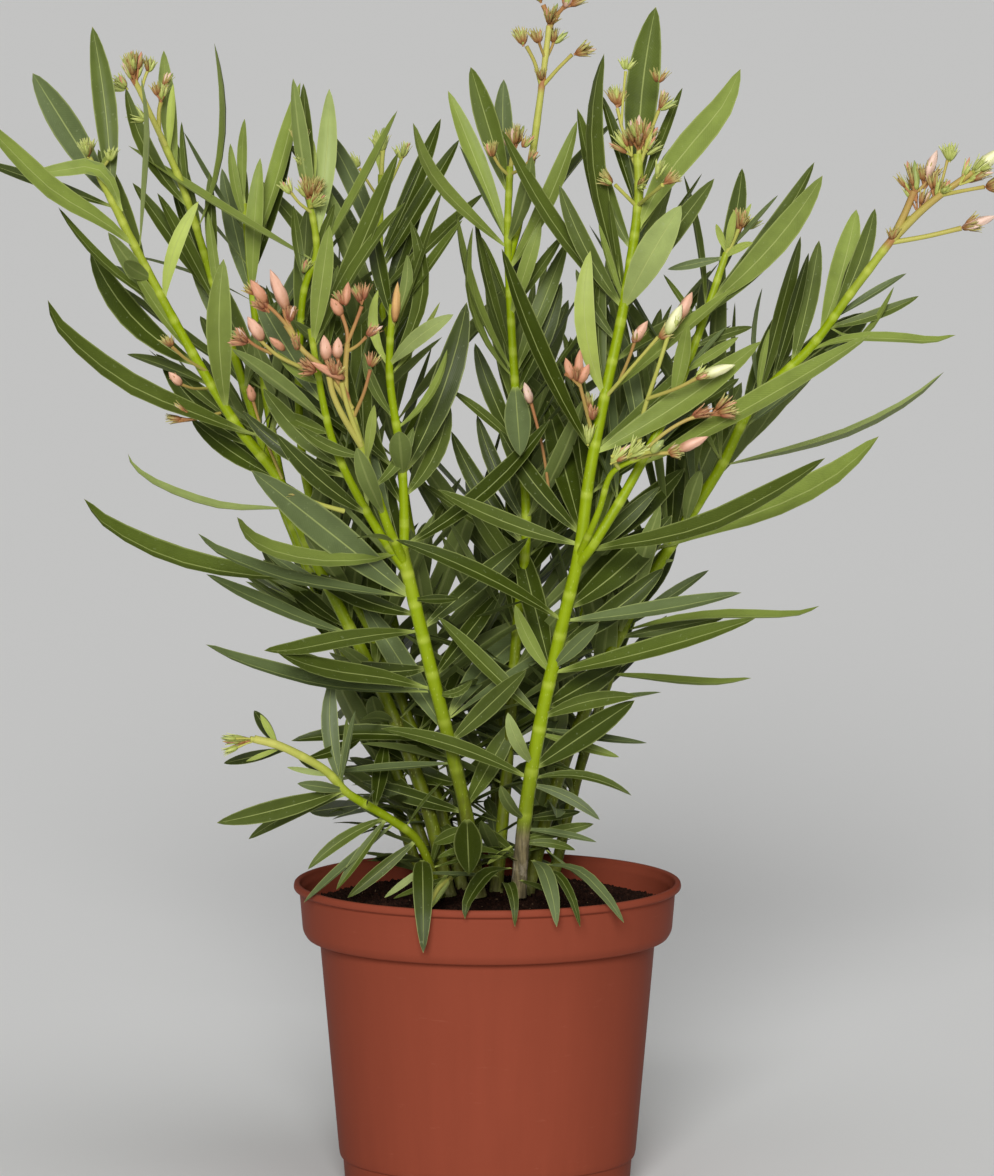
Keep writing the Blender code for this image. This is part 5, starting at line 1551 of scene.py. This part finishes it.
class Crown:
    """Sets the leaves of every shoot, first the listed ones and then the rule's whorls."""

    def __init__(self, settings):
        self.settings = settings
        self.outline = list(zip(CROWN_OUTLINE, CROWN_OUTLINE[1:] + CROWN_OUTLINE[:1]))
        flowers = [point for stalk in STALKS for point in stalk.route]
        flowers += [point for bud in BUDS for point in (bud.foot, bud.tip)]
        for head in HEADS:
            across, up, depth = head.foot
            flowers += [head.foot, (across + head.across * head.reach, up + head.up * head.reach, depth)]
        # what the rule's leaves keep clear of: (across, up, depth, length along its shoot, shoot's number)
        self.stem_spots = np.array([
            (x, z, depth / CM, length / CM, number)
            for number, name in enumerate(SHOOTS) if SHOOTS[name].part != "back"
            for (x, z), depth, length in zip(ROUTES[name].sheet[::2], ROUTES[name].depth[::2],
                                             ROUTES[name].lengths[::2])
            if z >= IN_VIEW_FROM.get(name, 99)] + [(*point, 0.0, -1) for point in flowers])
        self.leaves, self.taken = {}, {}

    # -- shape of one leaf
    def finish_leaf(self, part, points, normals, width, tint, rng):
        fold = rng.uniform(0.14, 0.38)
        self.leaves.setdefault(part, []).append(
            Leaf(points, normals, width, TINTS.index(tint), rng.uniform(-1.0, 1.0), fold))

    def true_width(self, seen, length):
        return min(self.settings.widest / CM, max(seen, length / self.settings.slenderness))

    def set_leaf(self, name, rng, height, tip_x, tip_z, bow, seen, tint, lean=None):
        """A leaf whose tip, bow and visible width are given on the front sheet."""
        lean = TINT_LEAN[tint] if lean is None else lean
        start = ROUTES[name].length_at_height(height)
        base = ROUTES[name].at(start)[0]
        base_x, base_z = on_sheet(base)
        base_y = base.y / CM
        reach = math.hypot(tip_x - base_x, tip_z - base_z)
        length = max(reach * 1.004, min(max(1.03 * reach, 7.4 * seen), self.settings.longest / CM))
        swing = math.sqrt(length ** 2 - reach ** 2) * (lean or rng.choice((-0.5, 0.5)))
        tip_y = max(-FURTHEST_TIP, min(FURTHEST_TIP, base_y + swing))
        mid_x = (base_x + tip_x) / 2 - (tip_z - base_z) / max(reach, 0.1) * bow * 2
        mid_z = (base_z + tip_z) / 2 + (tip_x - base_x) / max(reach, 0.1) * bow * 2
        arch = rng.uniform(-0.05, 0.12) * length * (1 if lean >= 0 else -1)
        points = []
        for s in STATIONS:
            keep, pull, end = (1 - s) ** 2, 2 * s * (1 - s), s * s
            points.append(place(keep * base_x + pull * mid_x + end * tip_x,
                                keep * base_z + pull * mid_z + end * tip_z,
                                base_y + (tip_y - base_y) * s + arch * math.sin(math.pi * s)))
        return self.turn_leaf(name, start, points, seen, self.true_width(seen, length), tint, rng)

    def arched_leaf(self, name, rng, seen, tint, gain, *spine):
        """A leaf that follows its own route on the front sheet."""
        start = ROUTES[name].length_at_height(spine[0][1])
        depth, last = ROUTES[name].at(start)[0].y / CM, len(spine) - 1
        route = Route([place(x, z, depth + gain * k / last) for k, (x, z) in enumerate(spine)])
        return self.turn_leaf(name, start, route.spread(STATIONS), seen,
                              self.true_width(seen, route.length / CM), tint, rng)

    def turn_leaf(self, name, start, points, seen, width, tint, rng):
        """Turns a blade about its midrib until it shows its visible width."""
        axis = ROUTES[name].at(start)[1]
        shown = 0.75 if tint in ("deep", "mid") else 1.8
        tangents = directions(points)
        ahead, sight = tangents[6], (points[6] - EYE).normalized()
        inward = axis - ahead * axis.dot(ahead)
        inward = inward.normalized() if inward.length > 0.05 else Vector((0, 0, 1))
        turn = math.acos(min(1.0, seen / width))

        def merit(normals):
            return inward.dot(normals[6]) - shown * normals[6].dot(sight) + 0.35 * normals[6].z

        choices = [[self.turned(p, t, angle) for p, t in zip(points, tangents)]
                   for angle in (turn, -turn, math.pi - turn, math.pi + turn)]
        self.finish_leaf(SHOOTS[name].part, points, max(choices, key=merit), width * CM, tint, rng)
        return start, (points[8] - points[0])

    @staticmethod
    def turned(point, tangent, angle):
        """Normal of a blade that is turned about its midrib, from full view at 0 to edge-on."""
        sight = (point - EYE).normalized()
        aside = tangent.cross(sight).normalized()
        return tangent.cross(aside) * math.cos(angle) - aside * math.sin(angle)

    def basal_leaf(self, foot, tip, seen, tint, rng):
        """A short leaf near the compost; one that passes the rim arches over it."""
        start, end = place(*foot), place(*tip)
        points = [start, end]
        if Vector(end.xy).length > RIM_RADIUS:
            low, high = 0.0, 1.0
            for _ in range(20):
                share = (low + high) / 2
                low, high = (share, high) if start.lerp(end, share).xy.length < RIM_RADIUS else (low, share)
            crest = start.lerp(end, high)
            crest.z = max(OVER_RIM, crest.z)
            points = [start, start.lerp(crest, 0.55) + Vector((0, 0, 0.006)), crest, end]
        spine = Route(points, 1.5 * MM).spread(STATIONS)
        up = Vector((0, -0.5, 1.0))
        normals = [(up - tangent * up.dot(tangent)).normalized() for tangent in directions(spine)]
        self.finish_leaf("foot", spine, normals, seen * CM, tint, rng)

    @staticmethod
    def rule_leaf(base, axis, aside, angle, bend, length, roll):
        """A leaf that leaves the axis at an angle and bends on along its length."""
        points, normals = [], []
        spot, before = base + aside * 0.002, 0.0
        for s in STATIONS:
            lean = angle + bend * (s + before) / 2
            ahead = (axis * math.cos(lean) + aside * math.sin(lean)).normalized()
            if s > 0:
                spot = spot + ahead * (length * (s - before))
            points.append(spot)
            before = s
        above = axis * math.sin(angle + bend * 0.5) - aside * math.cos(angle + bend * 0.5)
        for tangent in directions(points):
            up = above - tangent * above.dot(tangent)
            side = up.normalized().cross(tangent)
            normals.append((up.normalized() * math.cos(roll) + side * math.sin(roll)).normalized())
        return points, normals

    # -- where a rule leaf may be
    def fits(self, points, own_number, own_length):
        """Whether it stays in the crown's outline, out of the gaps and off what shows in front."""
        for x, z in map(on_sheet, points[3::2]):
            crossings = sum((az > z) != (bz > z) and x < (bx - ax) * (z - az) / (bz - az) + ax
                            for (ax, az), (bx, bz) in self.outline)
            if crossings % 2 == 0 or any(((x - gx) / (rx + 0.35)) ** 2 + ((z - gz) / (rz + 0.25)) ** 2 < 1.0
                                         for gx, gz, rx, rz in CROWN_GAPS):
                return False
        fine = np.array([(*on_sheet(p), p.y / CM) for a, b in zip(points[2:], points[3:])
                         for p in (a, a.lerp(b, 0.5))])
        x, z, depth, length, number = self.stem_spots.T
        near = np.hypot(fine[:, None, 0] - x, fine[:, None, 1] - z) < KEPT_CLEAR
        in_front = fine[:, None, 2] < depth + 0.3
        own = (number == own_number) & (abs(length - own_length / CM) < 1.0)
        return not np.any(near & in_front & ~own)

    @staticmethod
    def in_box(points):
        """Whether it stays in the solid model's box and off the compost and the pot's rim."""
        return all(abs(p.x) < 0.262 and abs(p.y) < 0.18 and p.z < 0.6
                   and p.z >= (0.158 if p.xy.length > 0.085 else 0.147) for p in points)

    def set_by_hand(self, name):
        """The placed leaves of a shoot; a rule's leaf never takes the place of one."""
        rng = random.Random(f"{name} {self.settings.seed}")
        self.taken[name] = [self.set_leaf(name, rng, *row) for row in SET_LEAVES.get(name, ())]
        self.taken[name] += [self.arched_leaf(name, rng, *row) for owner, *row in ARCHED_LEAVES if owner == name]

    def shield_leaves(self):
        """Keeps the rule's leaves from hiding the placed ones, apart from the deep and the dry."""
        shielded = [(*on_sheet(point), point.y / CM, 0.0, -1) for leaves in self.leaves.values() for leaf in leaves
                    if TINTS[leaf.tint] not in ("deep", "dry") for point in leaf.points[3:11]]
        self.stem_spots = np.concatenate([self.stem_spots, np.array(shielded)])

    def grow_shoot(self, name, number):
        """The rule's whorls of three, each whorl turned on from the one below."""
        rng = random.Random(f"{name} rule {self.settings.seed}")
        shoot, route = SHOOTS[name], ROUTES[name]
        phase = rng.uniform(0, 2 * math.pi)
        for count, mark in enumerate(whorl_marks(name)):
            base, axis = route.at(mark)
            if on_sheet(base)[1] > BARE_ABOVE.get(name, 99.0):
                break
            share = mark / route.length
            first = (Vector((1, 0, 0)) - axis * axis.x).normalized()
            second = axis.cross(first)
            tint = self.whorl_tint(shoot.part, base, share, rng)
            for k in range(3):
                azimuth = phase + count * math.pi / 3 + k * 2 * math.pi / 3 + rng.uniform(-0.2, 0.2)
                asides = (first * math.cos(azimuth + turn) + second * math.sin(azimuth + turn)
                          for turn in SIDESTEPS)
                self.grow_one(name, number, base, axis, asides, mark, share, tint, rng)

    @staticmethod
    def whorl_tint(part, base, share, rng):
        """One tint for a whole whorl, by how high and how far out it stands."""
        if part == "back":
            return rng.choice(("mid", "deep", "mid", "lit" if share > 0.7 else "grey"))
        if base.z < LOW_WHORL:
            return rng.choice(("grey", "deep", "mid", "grey"))
        if share > 0.88:
            return rng.choice(("lit", "fresh", "mid", "pale"))
        return rng.choice(("deep", "mid", "mid", "grey", "lit") if base.z > 0.38 else ("deep", "deep", "mid", "grey"))

    def grow_one(self, name, number, base, axis, asides, mark, share, tint, rng):
        """One leaf of a whorl, at the first way aside, and the greatest length, that fits."""
        part = SHOOTS[name].part
        young = max(0.0, (share - 0.72) / 0.28)
        length = rng.uniform(*RULE_LENGTH) * (1 - 0.42 * young ** 1.5)
        if rises_from_compost(name):
            length = min(length, 5.2 + max(0.0, base.z / CM - 15.5) * 1.0)
        if name == "shoot_low_left":
            length = rng.uniform(*LOW_SHOOT_LENGTH)
        if part == "back" and share > 0.75:
            length *= 0.85
        angle = math.radians((1 - young) * rng.uniform(*OLD_ANGLE) + young * rng.uniform(*YOUNG_ANGLE))
        bend = math.radians(rng.uniform(*BEND))
        if base.z < LOW_WHORL:
            angle, bend = math.radians(rng.uniform(*LOW_ANGLE)), math.radians(rng.uniform(*LOW_BEND))
        roll = math.radians(rng.gauss(0, 16))
        for attempt, aside in enumerate(asides):
            if any(abs(start - mark) < 1.0 * CM and self.same_side(aside, axis, way)
                   for start, way in self.taken[name]):
                if attempt == 0:
                    return
                continue
            if part != "back" and aside.y < -0.55 and rng.random() < 0.6:
                continue
            for shorter in SHORTENED:
                reach = length * shorter
                width = min(self.settings.widest / CM, reach / self.settings.slenderness * rng.uniform(0.92, 1.12))
                points, normals = self.rule_leaf(base, axis, aside, angle, bend, reach * CM, roll)
                if self.in_box(points) and self.fits(points, number, mark):
                    shade = tint if rng.random() < 0.7 else rng.choice(("deep", "mid", "mid", "grey"))
                    self.finish_leaf(part, points, normals, width * CM, shade, rng)
                    return

    @staticmethod
    def same_side(aside, axis, way):
        flat = way - axis * way.dot(axis)
        return flat.length > 1e-4 and flat.normalized().dot(aside) > 0.55


class OLEANDER_OT_leaves(bpy.types.Operator):
    """Grow the leaves of every shoot in whorls of three and deal out their tints by spray"""
    bl_idname = "oleander.leaves"
    bl_label = "Leaves"

    def execute(self, context):
        settings = context.scene.oleander_leaves
        finishes = [finish_blade(f"blade_{tint}", getattr(settings, tint), settings.rib) for tint in TINTS]
        board = blade_tree(finishes, finish_blade("blade_underside", settings.under, settings.rib, back=True))
        section = blade_section()
        crown = Crown(settings)
        for name in SHOOTS:
            crown.set_by_hand(name)
        crown.shield_leaves()
        for number, name in enumerate(SHOOTS):
            crown.grow_shoot(name, number)
        rng = random.Random(settings.seed)
        for row in BASAL_LEAVES:
            crown.basal_leaf(*row, rng)
        for part, leaves in crown.leaves.items():
            ribs = Skeleton(LEAF_KINDS)
            for leaf in leaves:
                halves = []
                for s in STATIONS:
                    half = leaf.width / 2 * outline_at(s)
                    if s < PETIOLE_END:
                        half = max(half, min(settings.edge, leaf.width * 0.2))
                    halves.append(max(half, THINNEST))
                ribs.add(leaf.points, half_width=halves, along=STATIONS, tint=leaf.tint, tone=leaf.tone,
                         side=[n.cross(t).normalized() for n, t in zip(leaf.normals, directions(leaf.points))],
                         lift=[n * (half * leaf.fold) for n, half in zip(leaf.normals, halves)])
            piece = grow(f"leaves_{part}", ribs.mesh(f"midribs_{part}"), board,
                         {"Section": section, "Merge": MERGE_DISTANCE})
            hand_over(piece, "foliage", *MASSES_OF_PART[part])
        bpy.data.objects.remove(section)
        return {"FINISHED"}


# ---- Flowers ----
def bud_mesh():
    """A furled bud of unit length and radius, its five petals wound round each other."""
    sides, rings = 10, 9
    vertices, faces, flat = [], [], []
    for ring in range(rings + 1):
        t = ring / rings
        girth = math.sin(math.pi * min(1.0, 0.10 + 0.90 * t) ** 0.80) ** 0.75 if ring < rings else 0.03
        for side in range(sides):
            angle = 2 * math.pi * side / sides + t * 1.3
            ripple = 1.0 + 0.13 * math.sin(5 * (angle - 2.6 * t)) * min(1.0, t * 1.6)
            vertices.append((girth * ripple * math.cos(angle), girth * ripple * math.sin(angle), t))
            flat.append((side / sides, t))
    for ring in range(rings):
        faces += collar(ring * sides, sides)
    faces += [tuple(range(sides - 1, -1, -1)), tuple(range(rings * sides, (rings + 1) * sides))]
    return shaped_mesh("bud", vertices, faces, flat)


# Along a sepal: (height, half its angle, distance out); along the knob inside: (height, girth)
SEPAL = ((0.0, 0.34, 0.35), (0.22, 0.60, 0.85), (0.52, 0.46, 0.98), (0.80, 0.26, 1.1), (1.0, 0.02, 1.35))
KNOB = ((0.0, 0.42), (0.25, 0.78), (0.5, 0.72), (0.74, 0.4))


def cup_mesh():
    """A cup of five pointed sepals round a small knob, of unit length and radius."""
    vertices, faces, flat = [], [], []
    for sepal in range(5):
        start = len(vertices)
        for t, half, out in SEPAL:
            for offset, rise in ((-half, 0.0), (0.0, 0.16), (half, 0.0)):
                angle = 2 * math.pi * sepal / 5 + offset
                vertices.append(((out + rise) * math.cos(angle), (out + rise) * math.sin(angle), t))
                flat.append((0.5 + offset, t))
        rows = range(start, start + 12, 3)
        faces += [(a, a + 1, a + 4, a + 3) for row in rows for a in (row, row + 1)]
        faces += [(a + 2, a, a + 3, a + 5) for a in rows]
        faces += [(start + 12, start + 13, start + 14), (start + 2, start + 1, start)]
    knob, sides = len(vertices), 6
    for t, girth in KNOB:
        vertices += circle(girth, t, sides)
        flat += [(side / sides, t * 0.5) for side in range(sides)]
    for ring in range(len(KNOB) - 1):
        faces += collar(knob + ring * sides, sides)
    faces += [tuple(range(knob + sides - 1, knob - 1, -1)), tuple(range(len(vertices) - sides, len(vertices)))]
    return shaped_mesh("cup", vertices, faces, flat)


def shaped_mesh(name, vertices, faces, flat):
    mesh = mesh_of(name, vertices, faces)
    layer = mesh.uv_layers.new(name="bud")
    for loop in mesh.loops:
        layer.data[loop.index].uv = flat[loop.vertex_index]
    shape = bmesh.new()
    shape.from_mesh(mesh)
    bmesh.ops.recalc_face_normals(shape, faces=shape.faces)
    shape.to_mesh(mesh)
    shape.free()
    smooth_shade(mesh, math.radians(60))
    return mesh


def setting_tree():
    """Sets a shape on points, each along its own aim and at its own size."""
    board, given = geometry_tree("set_buds", Shape="Object", Material="Material")
    shape = board.node("GeometryNodeObjectInfo", {}, {"Object": given["Shape"]}, out="Geometry")
    turn = board.node("FunctionNodeAlignRotationToVector", {"axis": "Z"}, {
        "Vector": board.attribute("aim", "FLOAT_VECTOR")})
    dealt = board.node("GeometryNodeInstanceOnPoints", {}, {
        "Points": board.node("GeometryNodeMeshToPoints", {}, {"Mesh": given["Geometry"]}),
        "Instance": shape, "Rotation": turn, "Scale": board.attribute("size", "FLOAT_VECTOR")})
    return board.end_growth(dealt, given["Material"])


THREAD_BLUSH = {"brown": 0.85, "rust": 1.0}
THREAD_RADIUS = 0.00055
BUD_CUP_LENGTH, BUD_CUP_DROP = 0.0072, 0.0006   # the cup under a bud, and how far it stands below its foot
CUP_OF_BUD = {"green": "green_cup", "cream": "green_cup", "blush": "brown_cup", "amber": "brown_cup"}
CUP_TIPS = {"brown_cup": paint(186, 178, 104), "green_cup": paint(196, 202, 120), "rust_cup": paint(194, 150, 104)}


class OLEANDER_OT_flowers(bpy.types.Operator):
    """Set the buds and the small cups of sepals on their stalks"""
    bl_idname = "oleander.flowers"
    bl_label = "Flowers"

    def execute(self, context):
        flowers = context.scene.oleander_flowers
        rng = random.Random(flowers.seed)
        shapes = {"bud": add_object("bud", bud_mesh()), "cup": add_object("cup", cup_mesh())}
        sets = {}       # (shape, kind): list of (place, aim, size)
        threads = Skeleton(STEM_KINDS)

        def deal(shape, kind, spot, aim, girth, length):
            sets.setdefault((shape, kind), []).append((spot, aim, (girth, girth, length)))

        for made in BUDS:
            foot, radius = place(*made.foot), made.radius * MM
            aim = place(*made.tip) - foot
            deal("bud", made.kind, foot, aim, radius, aim.length)
            deal("cup", CUP_OF_BUD.get(made.kind, "rust_cup"), foot - aim.normalized() * BUD_CUP_DROP,
                 aim, radius * 0.68, BUD_CUP_LENGTH)
        for head in HEADS:
            foot = place(*head.foot)
            aim = Vector((head.across, head.depth, head.up)).normalized()
            for k in range(max(3, round(head.count * 0.85))):
                spread = 0.15 + 0.8 * (k / max(1, head.count - 1))
                way = Vector([rng.gauss(0, 1) for _ in range(3)]).normalized()
                way = (aim + (way - aim * way.dot(aim)) * spread).normalized()
                reach = head.reach * CM * rng.uniform(0.75, 1.1) * (1.0 - 0.15 * spread)
                length = flowers.cup_length * rng.uniform(0.75, 1.15) * min(1.0, 0.62 + head.reach * 0.35)
                end = foot + way * max(0.001, reach - length * 0.7)
                if (end - foot).length > 0.002:
                    middle = foot.lerp(end, 0.5) + Vector(
                        [rng.uniform(-1, 1) for _ in range(3)]) * (end - foot).length * 0.06
                    threads.add([foot, foot.lerp(middle, 0.6), middle, end],
                                radius=[THREAD_RADIUS * share for share in (1.05, 0.9, 0.9, 1.3)],
                                youth=1.0, node=0.0, wood=0.0, pale=0.7, blush=THREAD_BLUSH.get(head.tint, 0.25))
                girth = flowers.cup_radius * rng.uniform(0.8, 1.15)
                kind = head.tint if rng.random() < 0.8 else ("green" if head.tint == "brown" else "brown")
                deal("cup", kind + "_cup", end, way, girth, length)
                if rng.random() < 0.15:
                    deal("bud", rng.choice(("salmon", "blush", "green")), end, way, girth * 0.85, length * 1.15)

        board, pieces = setting_tree(), []
        for (shape, kind), items in sets.items():
            spots, aims, sizes = zip(*items)
            mesh = mesh_of(f"{shape}_{kind}_points", spots, [])
            put_attribute(mesh, "aim", "FLOAT_VECTOR", aims)
            put_attribute(mesh, "size", "FLOAT_VECTOR", sizes)
            colour = getattr(flowers, kind)
            if shape == "bud":
                foot_colour = flowers.green_cup if kind in ("cream", "green") else flowers.brown_cup
                finish = finish_bud(f"bud_{kind}", colour, foot_colour)
            else:
                finish = finish_cup(kind, colour, CUP_TIPS[kind])
            pieces.append(grow(f"{shape}s_{kind}", mesh, board, {"Shape": shapes[shape], "Material": finish}))
        for shape in shapes.values():
            bpy.data.objects.remove(shape)
        for k, piece in enumerate(pieces):
            hand_over(piece, "blossom", *(BLOSSOM_MASSES if k == 0 else ()))
        piece = grow("flower_threads", threads.mesh("thread_routes"), stem_tree(bpy.data.materials["oleander_bark"]),
                     {"Sides": 5, "Relief": 0.0, "Seed": RELIEF_SEED})
        hand_over(piece, "stem")
        return {"FINISHED"}


# ---- Stage ----
class OLEANDER_OT_stage(bpy.types.Operator):
    """Lay the pale floor, hang the soft lights and set the camera"""
    bl_idname = "oleander.stage"
    bl_label = "Stage"

    def execute(self, context):
        stage = context.scene.oleander_stage
        floor = mesh_of("studio_floor", circle(stage.floor_radius, 0.0, 96), [tuple(range(96))])
        floor.materials.append(finish_floor(stage))
        add_object("studio_floor", floor)

        world = bpy.data.worlds.new("studio_air")
        world.use_nodes = True
        air = Board(world.node_tree)
        air.node("ShaderNodeOutputWorld", {}, {"Surface": air.node(
            "ShaderNodeBackground", {}, {"Color": (1.0, 1.0, 1.0, 1.0), "Strength": stage.sky})})
        context.scene.world = world

        for name, towards, spread, power in (
                ("key_light", (0.06, 1.0, -0.36), 20.0, stage.key_power),
                ("top_light", (-0.15, 0.25, -1.0), 50.0, stage.top_power),
                ("back_light", (0.2, -1.0, -0.75), 60.0, stage.fill_power)):
            lamp = bpy.data.lights.new(name, "SUN")
            lamp.angle, lamp.energy = math.radians(spread), power
            light = add_object(name, lamp)
            light.location = Vector(towards) * -3.0
            light.rotation_euler = Vector(towards).to_track_quat("-Z", "Y").to_euler()
        context.scene.view_settings.view_transform = "Standard"

        lens = bpy.data.cameras.new("front_camera")
        lens.lens, lens.sensor_width = CAMERA_LENS_MM, SENSOR_MM
        lens.clip_start, lens.clip_end = 0.1, 100.0
        camera = context.scene.camera = add_object("front_camera", lens)
        camera.location = CAMERA_PLACE
        camera.rotation_euler = (math.pi / 2 - CAMERA_PITCH, 0.0, 0.0)
        return {"FINISHED"}


# ---- Add-on ----
SETTINGS = {"pot": PotSettings, "compost": CompostSettings, "stems": StemSettings, "leaves": LeafSettings,
            "flowers": FlowerSettings, "stage": StageSettings}
OPERATORS = (OLEANDER_OT_pot, OLEANDER_OT_compost, OLEANDER_OT_stems, OLEANDER_OT_leaves, OLEANDER_OT_flowers,
             OLEANDER_OT_stage)


class OLEANDER_PT_panel(bpy.types.Panel):
    """The plant's pieces, in the order in which they are made"""
    bl_idname = "OLEANDER_PT_panel"
    bl_label = "Potted Oleander"
    bl_space_type = "VIEW_3D"
    bl_region_type = "UI"
    bl_category = "Oleander"

    def draw(self, context):
        for kind in OPERATORS:
            self.layout.operator(kind.bl_idname, text=kind.bl_label)


CLASSES = (*SETTINGS.values(), *OPERATORS, OLEANDER_PT_panel)


def register():
    for kind in CLASSES:
        bpy.utils.register_class(kind)
    for name, kind in SETTINGS.items():
        setattr(bpy.types.Scene, f"oleander_{name}", PointerProperty(type=kind))


def unregister():
    for name in SETTINGS:
        delattr(bpy.types.Scene, f"oleander_{name}")
    for kind in reversed(CLASSES):
        bpy.utils.unregister_class(kind)


def main():
    register()
    bpy.ops.oleander.stage()
    bpy.ops.oleander.pot()
    bpy.ops.oleander.compost()
    bpy.ops.oleander.stems()
    bpy.ops.oleander.leaves()
    bpy.ops.oleander.flowers()


if __name__ == "__main__":
    main()
